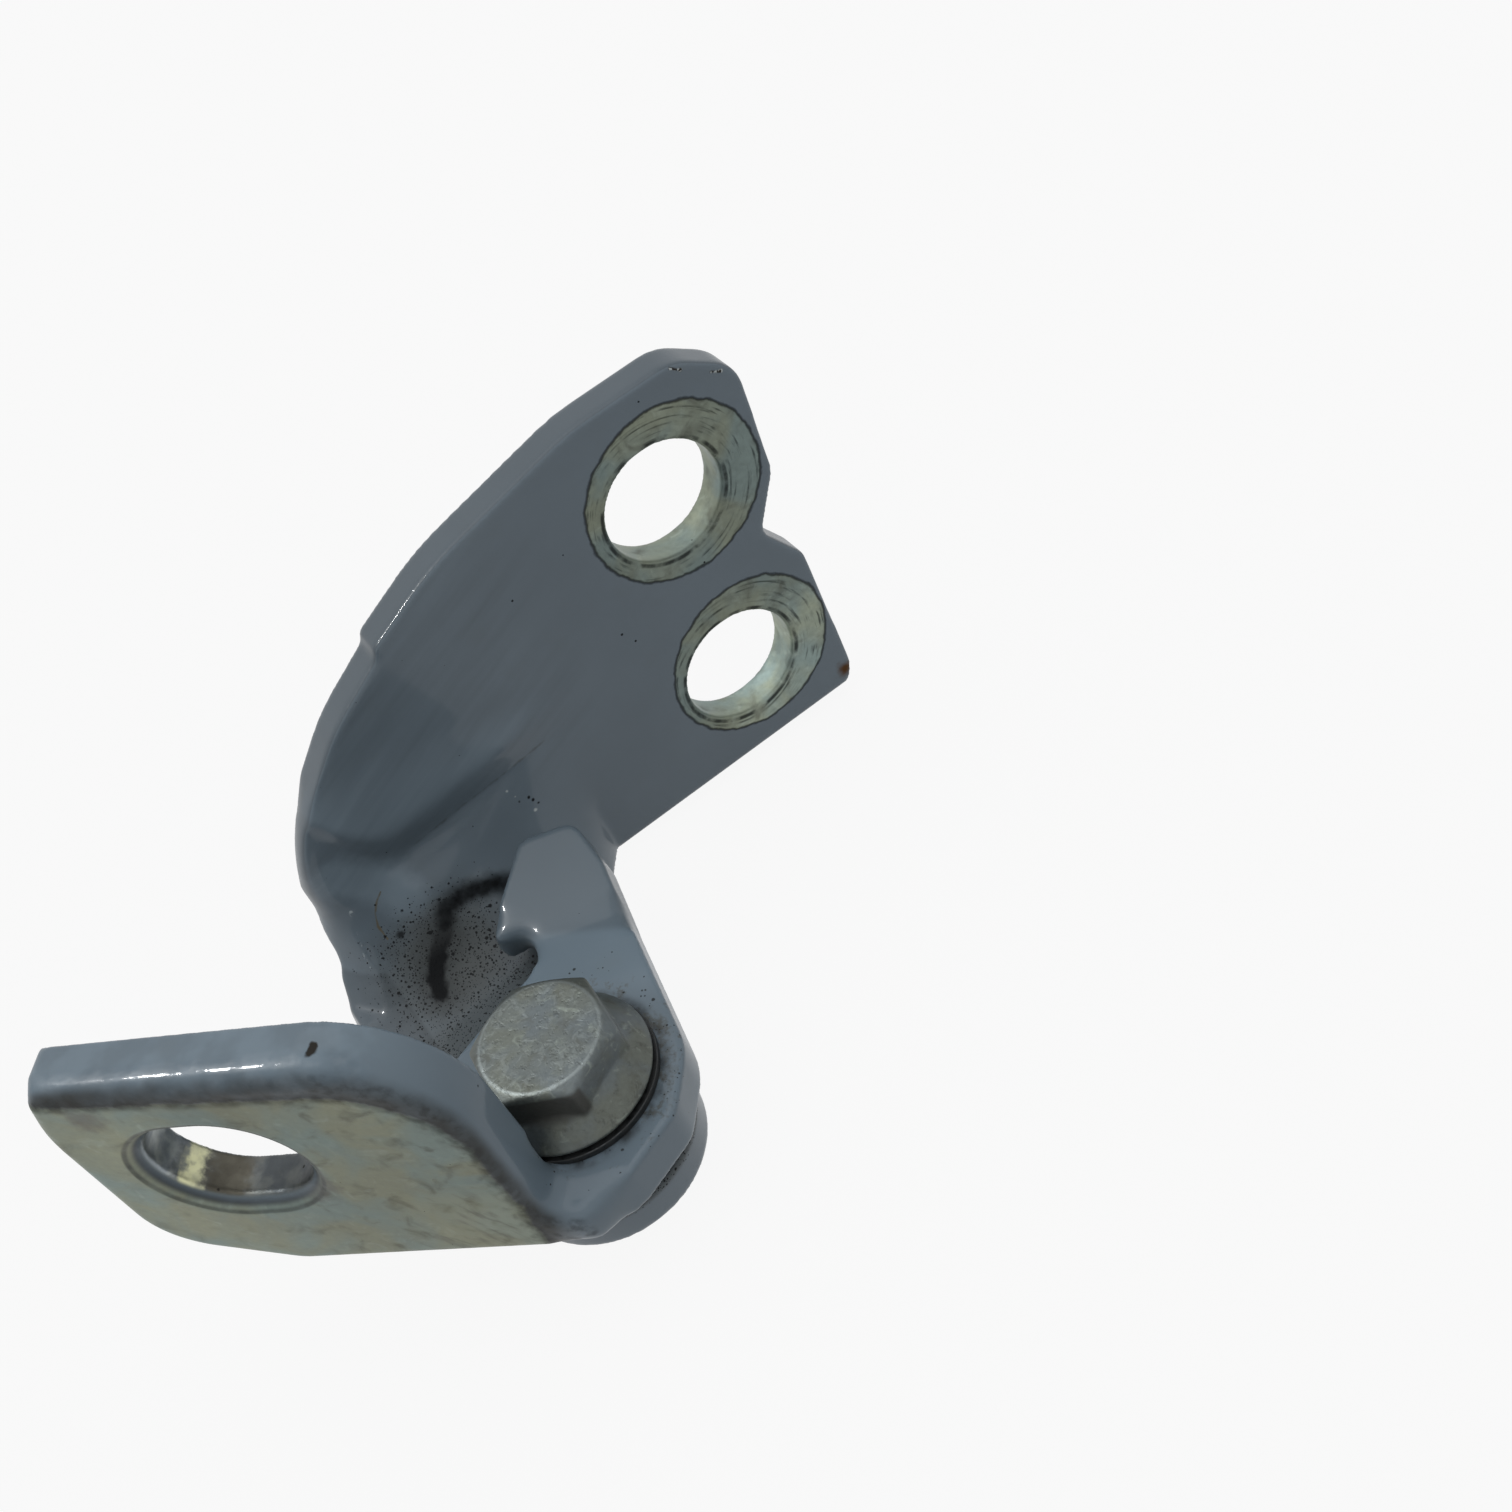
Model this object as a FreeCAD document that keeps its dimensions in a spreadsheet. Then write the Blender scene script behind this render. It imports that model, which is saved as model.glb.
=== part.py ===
import FreeCAD, Part
import math
import os

import Sketcher

# Car rear door hinge: two thick steel brackets that turn on one upright pin.
# Frame: the pin's axis is Z, z = 0 is the seat of the bolt on the door bracket,
# +X runs along the body plate and +Y points into the body it is screwed to.

os.makedirs("parts", exist_ok=True)
doc = FreeCAD.newDocument("RearDoorHinge")
sheet = doc.addObject("Spreadsheet::Sheet", "Sizes")


class Size:
    """A length or angle that knows its value and its formula in the sheet."""

    def __init__(self, value, text):
        self.value = float(value)
        self.text = text

    def join(self, other, sign, result):
        text = other.text if isinstance(other, Size) else repr(float(other))
        return Size(result, f"({self.text} {sign} {text})")

    def __add__(self, other):
        return self.join(other, "+", self.value + number(other))

    def __sub__(self, other):
        return self.join(other, "-", self.value - number(other))

    def __mul__(self, other):
        return self.join(other, "*", self.value * number(other))

    def __truediv__(self, other):
        return self.join(other, "/", self.value / number(other))

    def __neg__(self):
        return Size(-self.value, f"(-1 * {self.text})")


def number(item):
    """The plain value of a size or of a number."""
    return item.value if isinstance(item, Size) else float(item)


def formula(item):
    """The text that binds a property to a size or to a number."""
    return item.text if isinstance(item, Size) else repr(float(item))


DIMENSIONS = {
    # Each bracket is cut from one thick sheet.
    "door_thick": 6.6,
    "body_thick": 5.4,
    # The door bracket's leg lies under the bolt.
    "photo_angle": -39.3,
    "door_plate_inside": 11.4,
    "door_plate_left": 49.9,
    "door_plate_right": 0.4,
    "door_plate_top": 34.2,
    "door_plate_big_round": 15.0,
    "door_plate_low_round": 10.0,
    "door_bend_outside": 1.6,
    "leg_round": 13.8,
    "leg_reach": 20.0,
    "door_slot_across": 32.0,
    "door_slot_up": 16.0,
    "door_slot_long": 19.0,
    "door_slot_wide": 16.4,
    "door_slot_rim": 1.6,
    # The stop finger is bent up from the leg.
    "finger_tilt": 18.0,
    "finger_angle": 16.6,
    "finger_wide": 12.6,
    "finger_long": 14.0,
    "finger_round": 2.5,
    "finger_root_across": 9.3,
    "finger_root_up": 20.8,
    "door_bend_inside": 3.0,
    # The body bracket: plate, wide bend and floor with a boss.
    "body_gap": 2.4,
    "body_plate_front": 41.0,
    "body_bend_inside": 17.0,
    "body_plate_low": 15.9,
    "body_plate_right": 66.6,
    "body_plate_top": 46.9,
    "body_plate_corner": 7.5,
    "body_plate_low_corner": 6.0,
    "edge_notch_up": 16.6,
    "edge_notch_deep": 4.6,
    "edge_notch_half": 6.6,
    "floor_left": 18.4,
    "boss_round": 13.0,
    "boss_off": 1.2,
    "edge_slant_ratio": 0.65,
    "twist_start": 15.0,
    "twist_end": 24.2,
    "body_hole_across": 51.7,
    "body_hole_up": 30.0,
    "body_hole_pitch": 30.8,
    "body_hole_round": 8.4,
    # The pressed hollow of the body bracket.
    "bead_deep": 3.4,
    "bead_crease": 8.3,
    "bead_high": 16.5,
    "bead_left": 8.5,
    "bead_start": 0.5,
    "bead_end": 39.0,
    # The pin, its bush and the washers.
    "pin_round": 6.5,
    "pin_clear": 0.05,
    "neck_round": 7.5,
    "neck_sink": 0.3,
    "collar_round": 10.0,
    "bush_round": 8.0,
    "bush_flange_round": 11.5,
    "bush_flange_thick": 1.0,
    "rest_clear": 0.06,
    "low_washer_round": 11.0,
    "low_washer_thick": 1.2,
    "rivet_round": 9.0,
    "rivet_thick": 2.6,
    # The flanged bolt and the ring under it.
    "bolt_round": 5.0,
    "bolt_long": 16.0,
    "bolt_hole_round": 5.05,
    "ring_round": 11.2,
    "ring_inside": 5.2,
    "seat_round": 11.35,
    "ring_thick": 1.0,
    "flange_round": 11.0,
    "flange_rim": 1.6,
    "flange_cone": 2.6,
    "cone_round": 8.4,
    "hex_across": 16.0,
    "hex_high": 4.7,
    "hex_angle": 5.0,
    "crown_round": 7.4,
    "crown_drop": 1.0,
}

for row, (alias, value) in enumerate(DIMENSIONS.items(), start=1):
    sheet.set(f"A{row}", alias)
    sheet.set(f"B{row}", str(value))
    sheet.setAlias(f"B{row}", alias)
doc.recompute()


def size(alias):
    """The named size from the sheet."""
    return Size(sheet.get(alias), f"Sizes.{alias}")


def new_body(name):
    """An empty body whose label is the name of its piece."""
    body = doc.addObject("PartDesign::Body", name)
    body.Label = name
    return body


def origin_plane(body, role):
    """One of the body's own origin planes."""
    return next(f for f in body.Origin.OriginFeatures if f.Role == role)


def new_sketch(body, role, name, lift=0.0):
    """A sketch on an origin plane, lifted off it along the plane's normal."""
    sketch = body.newObject("Sketcher::SketchObject", name)
    sketch.AttachmentSupport = [(origin_plane(body, role), "")]
    sketch.MapMode = "FlatFace"
    sketch.setExpression("AttachmentOffset.Base.z", formula(lift))
    return sketch


def bind(sketch, constraint, item):
    """Adds a sketch constraint and ties it to its size."""
    index = sketch.addConstraint(constraint)
    sketch.setExpression(f"Constraints[{index}]", formula(item))


def pin_point(sketch, geometry, end, across, up):
    """Places one end of a piece of geometry from the sketch's origin."""
    bind(sketch, Sketcher.Constraint("DistanceX", -1, 1, geometry, end, number(across)), across)
    bind(sketch, Sketcher.Constraint("DistanceY", -1, 1, geometry, end, number(up)), up)


def corner_arc(before, corner, after, radius):
    """Entry point, exit point and centre of the round at a corner."""
    back = (before - corner).normalize()
    on = (after - corner).normalize()
    half = back.getAngle(on) / 2
    reach = radius / math.tan(half)
    middle = (back + on).normalize() * (radius / math.sin(half))
    return corner + back * reach, corner + on * reach, corner + middle


def draw_outline(sketch, corners):
    """A closed outline; each corner is (across, up) or (across, up, round)."""
    flat = [FreeCAD.Vector(number(c[0]), number(c[1]), 0) for c in corners]
    count = len(corners)
    entries = list(flat)
    exits = list(flat)
    arcs = {}
    for i, corner in enumerate(corners):
        if len(corner) == 3:
            before, after = flat[i - 1], flat[(i + 1) % count]
            entries[i], exits[i], centre = corner_arc(before, flat[i], after, number(corner[2]))
            left = (flat[i] - before).cross(after - flat[i]).z > 0
            start, stop = (entries[i], exits[i]) if left else (exits[i], entries[i])
            angles = [math.atan2(p.y - centre.y, p.x - centre.x) for p in (start, stop)]
            circle = Part.Circle(centre, FreeCAD.Vector(0, 0, 1), number(corner[2]))
            arc = sketch.addGeometry(Part.ArcOfCircle(circle, angles[0], angles[1]))
            arcs[i] = (arc, left)
    lines = []
    for i in range(count):
        lines.append(sketch.addGeometry(Part.LineSegment(exits[i], entries[(i + 1) % count])))
    for i, corner in enumerate(corners):
        before, after = lines[i - 1], lines[i]
        if i not in arcs:
            sketch.addConstraint(Sketcher.Constraint("Coincident", before, 2, after, 1))
            pin_point(sketch, after, 1, corner[0], corner[1])
            continue
        arc, left = arcs[i]
        first, last = (1, 2) if left else (2, 1)
        sketch.addConstraint(Sketcher.Constraint("Tangent", before, 2, arc, first))
        sketch.addConstraint(Sketcher.Constraint("Tangent", arc, last, after, 1))
        bind(sketch, Sketcher.Constraint("Radius", arc, number(corner[2])), corner[2])
        mark = sketch.addGeometry(Part.Point(flat[i]), True)
        sketch.addConstraint(Sketcher.Constraint("PointOnObject", mark, 1, before))
        sketch.addConstraint(Sketcher.Constraint("PointOnObject", mark, 1, after))
        pin_point(sketch, mark, 1, corner[0], corner[1])
    return sketch


def draw_circle(sketch, across, up, radius):
    """A circle placed from the sketch's origin."""
    centre = FreeCAD.Vector(number(across), number(up), 0)
    circle = Part.Circle(centre, FreeCAD.Vector(0, 0, 1), number(radius))
    index = sketch.addGeometry(circle)
    bind(sketch, Sketcher.Constraint("Radius", index, number(radius)), radius)
    pin_point(sketch, index, 3, across, up)
    return sketch


def draw_slot(sketch, across, up, long, wide):
    """A slot with full round ends that runs along the sketch's first axis."""
    half = (long - wide) / 2
    radius = wide / 2
    ends = []
    for side, low, high in ((-1, math.pi / 2, 3 * math.pi / 2), (1, -math.pi / 2, math.pi / 2)):
        centre = FreeCAD.Vector(number(across) + side * number(half), number(up), 0)
        circle = Part.Circle(centre, FreeCAD.Vector(0, 0, 1), number(radius))
        ends.append(sketch.addGeometry(Part.ArcOfCircle(circle, low, high)))
        bind(sketch, Sketcher.Constraint("Radius", ends[-1], number(radius)), radius)
        pin_point(sketch, ends[-1], 3, across + half * side, up)
    for first, second, height in ((1, 2, 1), (2, 1, -1)):
        left = FreeCAD.Vector(number(across) - number(half), number(up) + height * number(radius), 0)
        right = FreeCAD.Vector(number(across) + number(half), left.y, 0)
        line = sketch.addGeometry(Part.LineSegment(left, right))
        sketch.addConstraint(Sketcher.Constraint("Tangent", ends[0], first, line, 1))
        sketch.addConstraint(Sketcher.Constraint("Tangent", line, 2, ends[1], second))
    return sketch


def pad(body, sketch, length, name):
    """Material from a sketch, along its plane's normal."""
    feature = body.newObject("PartDesign::Pad", name)
    feature.Profile = sketch
    feature.setExpression("Length", formula(length))
    return feature


def cut_through(body, sketch, name):
    """A cut from a sketch through the whole body, both ways."""
    feature = body.newObject("PartDesign::Pocket", name)
    feature.Profile = sketch
    feature.Type = "ThroughAll"
    feature.Midplane = True
    return feature


def turned(body, corners, name):
    """A solid of revolution about Z from a profile of (radius, height) corners."""
    sketch = draw_outline(new_sketch(body, "XZ_Plane", name + "_profile"), corners)
    feature = body.newObject("PartDesign::Revolution", name)
    feature.Profile = sketch
    feature.ReferenceAxis = (sketch, ["V_Axis"])
    feature.Angle = 360
    return feature


# The levels of the stack on the pivot axis, from the bolt's seat downwards.
door_thick = size("door_thick")
body_thick = size("body_thick")
leg_low = -door_thick
floor_top = leg_low - size("body_gap")
floor_low = floor_top - body_thick
margin = size("body_plate_right") * 0.45

# Door bracket: a pressed angle. The plate stands along X behind a big round
# corner, the leg lies flat under the bolt and carries the stop finger.
door = new_body("door_bracket")
inside = -size("door_plate_inside")
outside = inside - door_thick
plate_left = -size("door_plate_left")
plate_right = size("door_plate_right")
plate_top = size("door_plate_top")

plate_sketch = draw_outline(
    new_sketch(door, "XZ_Plane", "door_plate_outline", -inside),
    [
        (plate_left, -leg_low * 0.03, size("door_plate_low_round")),
        (plate_left * 0.68, leg_low, size("door_plate_low_round") * 0.6),
        (plate_right, leg_low),
        (plate_right, plate_top, size("door_plate_big_round")),
        (plate_left * 0.94, plate_top * 0.994, size("door_bend_outside")),
        (plate_left * 0.996, plate_top * 0.737, size("door_plate_low_round") * 2),
    ],
)
pad(door, plate_sketch, door_thick, "door_plate")

reach = size("leg_reach")
leg_round = size("leg_round")
leg_sketch = draw_outline(
    new_sketch(door, "XY_Plane", "leg_outline", leg_low),
    [
        (plate_left * 0.627, outside),
        (leg_round * 0.333, outside),
        (leg_round * 0.493, outside + leg_round * 0.21, leg_round * 0.22),
        (leg_round * 0.67, -leg_round * 0.93, leg_round * 0.43),
        (leg_round, -leg_round * 0.37, leg_round * 0.36),
        (leg_round * 1.007, leg_round * 0.26, leg_round * 0.72),
        (leg_round * 0.2, reach * 1.23),
        (-leg_round * 0.67, reach * 1.045),
        (-leg_round * 0.554, reach * 0.81, leg_round * 0.29),
        (-leg_round * 0.8, reach * 0.64, leg_round * 0.22),
        (plate_left * 0.52, inside),
        (plate_left * 0.627, inside),
    ],
)
pad(door, leg_sketch, door_thick, "door_leg")

# The stop finger: a flat tongue turned up from the leg's far edge.
root_across = -size("finger_root_across")
root_up = size("finger_root_up")
finger_sketch = new_sketch(door, "XY_Plane", "finger_outline")
finger_sketch.setExpression("AttachmentOffset.Base.z", None)
place = f"vector({root_across.text}; {root_up.text}; 0)"
tilt = f"rotation({size('finger_angle').text}; 0; {size('finger_tilt').text})"
finger_sketch.setExpression("AttachmentOffset", f"placement({place}; {tilt})")
finger_wide = size("finger_wide")
finger_long = size("finger_long")
finger_round = size("finger_round")
draw_outline(
    finger_sketch,
    [
        (finger_wide * 0.07, -finger_wide * 0.143),
        (finger_wide * 1.016, -finger_wide * 0.143),
        (finger_wide * 0.92, finger_long / 2),
        (finger_wide * 0.72, finger_long, finger_round),
        (finger_wide * 0.12, finger_long * 0.993, finger_round),
        (-finger_wide * 0.42, finger_long * 0.157),
        (-finger_wide * 0.34, finger_long * 0.07),
        (-finger_wide * 0.05, finger_long * 0.114, finger_round * 0.56),
    ],
)
finger = pad(door, finger_sketch, door_thick * 0.9, "stop_finger")
finger.Reversed = True
doc.recompute()


def edges_where(shape, test):
    """The names of the edges whose every sampled point passes the test."""
    found = []
    for index, edge in enumerate(shape.Edges, start=1):
        first, last = edge.ParameterRange
        points = [edge.valueAt(first + (last - first) * k / 4) for k in range(5)]
        if all(test(p) for p in points):
            found.append(f"Edge{index}")
    return found


def near(a, b, slack=0.02):
    """Whether two lengths agree."""
    return abs(number(a) - number(b)) < slack


def dress(body, kind, base, test, name, **amounts):
    """A fillet or chamfer on the base's edges that pass the test."""
    names = edges_where(base.Shape, test)
    assert names, f"{name}: no edge found"
    feature = body.newObject(kind, name)
    feature.Base = (base, names)
    for key, amount in amounts.items():
        feature.setExpression(key, formula(amount))
    return feature


FILLET = "PartDesign::Fillet"
CHAMFER = "PartDesign::Chamfer"

outer_bend = dress(
    door,
    FILLET,
    finger,
    lambda p: near(p.y, outside) and near(p.z, leg_low) and p.x < number(leg_round) * 0.4,
    "door_outer_bend",
    Radius=size("door_bend_outside"),
)
doc.recompute()
inner_bend = dress(
    door,
    FILLET,
    outer_bend,
    lambda p: near(p.y, inside) and near(p.z, 0) and p.x < number(leg_round) * 0.1,
    "door_inner_bend",
    Radius=size("door_bend_inside"),
)
doc.recompute()

slot_sketch = draw_slot(
    new_sketch(door, "XZ_Plane", "door_slot_outline"),
    -size("door_slot_across"),
    size("door_slot_up"),
    size("door_slot_long"),
    size("door_slot_wide"),
)
door_slot = cut_through(door, slot_sketch, "door_slot")
bolt_seat = draw_circle(new_sketch(door, "XY_Plane", "neck_outline"), 0, 0, size("neck_round"))
neck_bore = cut_through(door, bolt_seat, "neck_bore")
# The ring under the bolt has a round flat cut for it out of the inner bend.
spot_sketch = draw_circle(new_sketch(door, "XY_Plane", "seat_outline"), 0, 0, size("seat_round"))
bolt_flat = door.newObject("PartDesign::Pocket", "bolt_flat")
bolt_flat.Profile = spot_sketch
bolt_flat.Type = "Length"
bolt_flat.Reversed = True
bolt_flat.setExpression("Length", formula(size("door_bend_inside")))
doc.recompute()
slot_spot = FreeCAD.Vector(-number(size("door_slot_across")), 0, number(size("door_slot_up")))
slot_near = number(size("door_slot_long")) * 0.6
door_rim = dress(
    door,
    CHAMFER,
    bolt_flat,
    lambda p: near(p.y, outside) and math.hypot(p.x - slot_spot.x, p.z - slot_spot.z) < slot_near,
    "door_slot_rim",
    Size=size("door_slot_rim"),
)
door.setExpression("Placement.Rotation", f"rotation({size('photo_angle').text}; 0; 0)")
doc.recompute()

# Body bracket: a plate with two slots, whose lower left part runs through a
# wide bend into a floor with the boss of the pivot. Right of the floor the
# bend twists out into the plate, and a pressed hollow stiffens its top.
bracket = new_body("body_bracket")
front = size("body_plate_front")
back = front + body_thick
bend_in = size("body_bend_inside")
bend_out = bend_in + body_thick
bend_top = floor_top + bend_in
bend_back = front - bend_in
plate_high = size("body_plate_top") + body_thick
lap = body_thick * 0.4
plate_low = -size("body_plate_low")
twist_start = size("twist_start")
twist_end = size("twist_end")

profile = draw_outline(
    new_sketch(bracket, "YZ_Plane", "bend_profile", -margin),
    [
        (-margin, floor_low),
        (back, floor_low, bend_out),
        (back, plate_high),
        (front, plate_high),
        (front, floor_top, bend_in),
        (-margin, floor_top),
    ],
)
pad(bracket, profile, twist_start + margin, "bend_strip")
upper = draw_outline(
    new_sketch(bracket, "YZ_Plane", "upper_profile", twist_start - lap),
    [(front, bend_top), (back, bend_top), (back, plate_high), (front, plate_high)],
)
pad(bracket, upper, twist_end - twist_start + lap * 2, "upper_plate")
right = draw_outline(
    new_sketch(bracket, "YZ_Plane", "right_profile", twist_end),
    [(front, plate_low), (back, plate_low), (back, plate_high), (front, plate_high)],
)
pad(bracket, right, margin * 2, "right_plate")
doc.recompute()


def draw_bend_end(sketch):
    """The strip's own section through the bend, below its upper tangent line."""
    centre = FreeCAD.Vector(bend_back.value, bend_top.value, 0)
    corners = [
        (bend_back, floor_top),
        (bend_back, floor_low),
        (back, bend_top),
        (front, bend_top),
    ]
    spots = [FreeCAD.Vector(c[0].value, c[1].value, 0) for c in corners]
    up = FreeCAD.Vector(0, 0, 1)
    edges = []
    for i, radius in ((0, None), (1, bend_out), (2, None), (3, bend_in)):
        if radius is None:
            shape = Part.LineSegment(spots[i], spots[(i + 1) % 4])
        else:
            shape = Part.ArcOfCircle(Part.Circle(centre, up, radius.value), -math.pi / 2, 0)
        edges.append(sketch.addGeometry(shape))
    join = (((0, 2), (1, 1)), ((1, 2), (2, 1)), ((2, 2), (3, 2)), ((3, 1), (0, 1)))
    for (one, one_end), (two, two_end) in join:
        sketch.addConstraint(
            Sketcher.Constraint("Coincident", edges[one], one_end, edges[two], two_end)
        )
    bind(sketch, Sketcher.Constraint("Radius", edges[1], bend_out.value), bend_out)
    bind(sketch, Sketcher.Constraint("Radius", edges[3], bend_in.value), bend_in)
    for index, (across, rise) in ((0, corners[0]), (1, corners[1])):
        pin_point(sketch, edges[index], 1, across, rise)
    pin_point(sketch, edges[2], 1, *corners[2])
    pin_point(sketch, edges[2], 2, *corners[3])
    return sketch


bend_end = draw_bend_end(new_sketch(bracket, "YZ_Plane", "twist_first", twist_start))
flat_end = draw_outline(
    new_sketch(bracket, "YZ_Plane", "twist_last", twist_end),
    [(front, plate_low), (back, plate_low), (back, bend_top), (front, bend_top)],
)
twist = bracket.newObject("PartDesign::AdditiveLoft", "twist")
twist.Profile = bend_end
twist.Sections = [(flat_end, [""])]
twist.Ruled = True
doc.recompute()

# Everything outside the two outlines is cut away, seen from the front and
# from above.
plate_right_edge = size("body_plate_right")
plate_edge_top = size("body_plate_top")
notch_up = size("edge_notch_up")
notch_half = size("edge_notch_half")
floor_left = size("floor_left")
wide_round = plate_edge_top * 0.64


def frame_outline(sketch, corners, far):
    """A wide square with the outline as a hole, so that a cut leaves the outline."""
    square = [(-far, -far), (far, -far), (far, far), (-far, far)]
    draw_outline(sketch, square)
    return draw_outline(sketch, corners)


front_outline = frame_outline(
    new_sketch(bracket, "XZ_Plane", "front_outline"),
    [
        (-floor_left * 1.043, plate_low * 1.063),
        (plate_right_edge * 0.97, plate_low * 1.063),
        (plate_right_edge * 1.004, plate_low, size("body_plate_low_corner")),
        (plate_right_edge * 0.997, notch_up - notch_half * 1.12, notch_half * 0.45),
        (plate_right_edge - size("edge_notch_deep"), notch_up * 0.99, notch_half * 0.4),
        (plate_right_edge * 1.001, notch_up + notch_half * 1.15, notch_half * 0.6),
        (plate_right_edge * 1.0135, plate_edge_top * 0.88, size("body_plate_low_corner")),
        (plate_right_edge * 0.9, plate_edge_top, size("body_plate_corner")),
        (plate_right_edge * 0.67, plate_edge_top, wide_round),
        (plate_right_edge * 0.33, plate_edge_top * 0.893, wide_round * 1.33),
        (plate_right_edge * 0.168, plate_edge_top * 0.783),
        (plate_right_edge * 0.159, plate_edge_top * 0.751),
        (plate_right_edge * 0.024, plate_edge_top * 0.638, wide_round),
        (-floor_left * 0.533, plate_edge_top * 0.405, wide_round),
        (-floor_left * 0.837, plate_edge_top * 0.134, wide_round),
        (-floor_left * 0.913, floor_top * 0.222, wide_round * 0.67),
        (-floor_left * 1.022, floor_top * 1.178),
    ],
    margin * 3,
)
cut_through(bracket, front_outline, "front_trim")
boss = size("boss_round")
boss_off = size("boss_off")
top_outline = frame_outline(
    new_sketch(bracket, "XY_Plane", "top_outline"),
    [
        (-margin * 2, bend_back * 1.042),
        (-floor_left, bend_back * 1.042, boss * 0.3),
        (-boss - boss_off, boss * 0.04, boss * 2),
        (-boss - boss_off, -boss * 1.038, boss * 0.999),
        (boss - boss_off, -boss * 1.038, boss * 0.999),
        (boss - boss_off, boss * 0.19, boss * 2),
        (twist_start + lap, bend_back * 0.917),
        (margin * 2.8, bend_back * 0.917),
        (margin * 2.8, back + margin),
        (-margin * 2, back + margin),
    ],
    margin * 3,
)
cut_through(bracket, top_outline, "top_trim")

slant_shift = size("edge_slant_ratio") * margin
slant_low = floor_top * 0.733
slant_top = plate_edge_top * 0.416
slant_long = size("body_plate_front") * 2
# The left edge is sheared at a slant from the plate down through the bend.
slant_outline = draw_outline(
    new_sketch(bracket, "XZ_Plane", "slant_outline", -front + margin),
    [
        (-margin * 2, slant_top),
        (slant_shift - floor_left * 0.49, slant_top),
        (slant_shift - floor_left * 0.6, plate_edge_top * 0.277, floor_left * 1.1),
        (slant_shift - floor_left * 0.592, plate_edge_top * 0.107, floor_left * 0.54),
        (slant_shift - floor_left * 0.804, floor_top * 0.4, floor_left * 0.22),
        (slant_shift - floor_left * 1.065, slant_low),
        (-margin * 2, slant_low),
    ],
)
slant_cut = bracket.newObject("PartDesign::Pocket", "slanted_edge")
slant_cut.Profile = slant_outline
slant_cut.Type = "Length"
slant_cut.UseCustomVector = True
slant_cut.AlongSketchNormal = False
slant_cut.Direction = FreeCAD.Vector(-size("edge_slant_ratio").value, 1, 0)
slant_cut.setExpression("Length", formula(slant_long))
doc.recompute()

# The holes, the bore of the boss and the pressed hollow above the bend.
body_hole_up = size("body_hole_up")
for name, rise in (
    ("upper_hole", body_hole_up),
    ("lower_hole", body_hole_up - size("body_hole_pitch")),
):
    outline = draw_circle(
        new_sketch(bracket, "XZ_Plane", name + "_outline"),
        size("body_hole_across"),
        rise,
        size("body_hole_round"),
    )
    cut_through(bracket, outline, name)
bore = draw_circle(new_sketch(bracket, "XY_Plane", "bore_outline"), 0, 0, size("bush_round"))
cut_through(bracket, bore, "bush_bore")
doc.recompute()


# The pressed hollow: its upper wall rolls back behind the plate's face down to
# a sharp crease, its left end is rounded and it fades out to the right.
bead_deep = size("bead_deep")
bead_crease = size("bead_crease")
bead_high = size("bead_high")


def hollow_section(name, across, deep_share, rise, high_share, drop, air_share):
    """One section of the hollow, from shares of its full depth and height."""
    deep = bead_deep * deep_share
    crease = bead_crease + bead_high * rise
    high = bead_high * high_share
    low = bead_crease + bead_high * drop
    air = bead_deep * air_share
    return draw_outline(
        new_sketch(bracket, "YZ_Plane", name, across),
        [
            (front - bead_deep * 1.1 - air, low),
            (front - air * 0.3, low + (crease - low) * 0.35),
            (front + deep * 0.74 - air, low + (crease - low) * 0.66),
            (front + deep - air, crease),
            (front + deep * 0.6 - air, crease + high * 0.2),
            (front + deep * 0.27 - air, crease + high * 0.52),
            (front - air - deep * 0.03, crease + high),
        ],
    )


hollow_sections = [
    hollow_section("hollow_left", -size("bead_left"), 0.05, 0.18, 0.35, -0.145, 0.18),
    hollow_section("hollow_curve", -size("bead_left") * 0.55, 0.75, 0.05, 0.72, -0.4, 0.0),
    hollow_section("hollow_deep", size("bead_start"), 1.0, 0.0, 1.0, -0.533, 0.0),
    hollow_section("hollow_right", size("bead_end"), 0.05, 0.206, 0.26, 0.024, 0.12),
]
hollow = bracket.newObject("PartDesign::SubtractiveLoft", "pressed_hollow")
hollow.Profile = hollow_sections[0]
hollow.Sections = [(section, [""]) for section in hollow_sections[1:]]
hollow.Ruled = True
doc.recompute()


def turned_body(name, corners):
    """A body that is one solid of revolution about the pivot axis."""
    body = new_body(name)
    turned(body, corners, name + "_turned")
    return body


# The pin: its neck sits in the door bracket, its collar carries that bracket
# on the bush, and its lower end is headed over under a washer.
pin_round = size("pin_round")
collar_low = floor_top + size("bush_flange_thick") + size("rest_clear")
washer_low = floor_low - size("low_washer_thick")
rivet_top = washer_low - size("rest_clear")
rivet_low = rivet_top - size("rivet_thick")
rivet_edge = size("rivet_thick") * 0.4
bolt_hole = size("bolt_hole_round")
bolt_low = size("ring_thick") - size("bolt_long")
hole_low = bolt_low - size("ring_thick")
pin = turned_body(
    "hinge_pin",
    [
        (0, rivet_low),
        (size("rivet_round") - rivet_edge, rivet_low),
        (size("rivet_round"), rivet_low + rivet_edge),
        (size("rivet_round"), rivet_top),
        (pin_round, rivet_top),
        (pin_round, collar_low),
        (size("collar_round"), collar_low),
        (size("collar_round"), leg_low),
        (size("neck_round"), leg_low),
        (size("neck_round"), -size("neck_sink")),
        (bolt_hole, -size("neck_sink")),
        (bolt_hole, hole_low),
        (0, hole_low),
    ],
)

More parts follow.
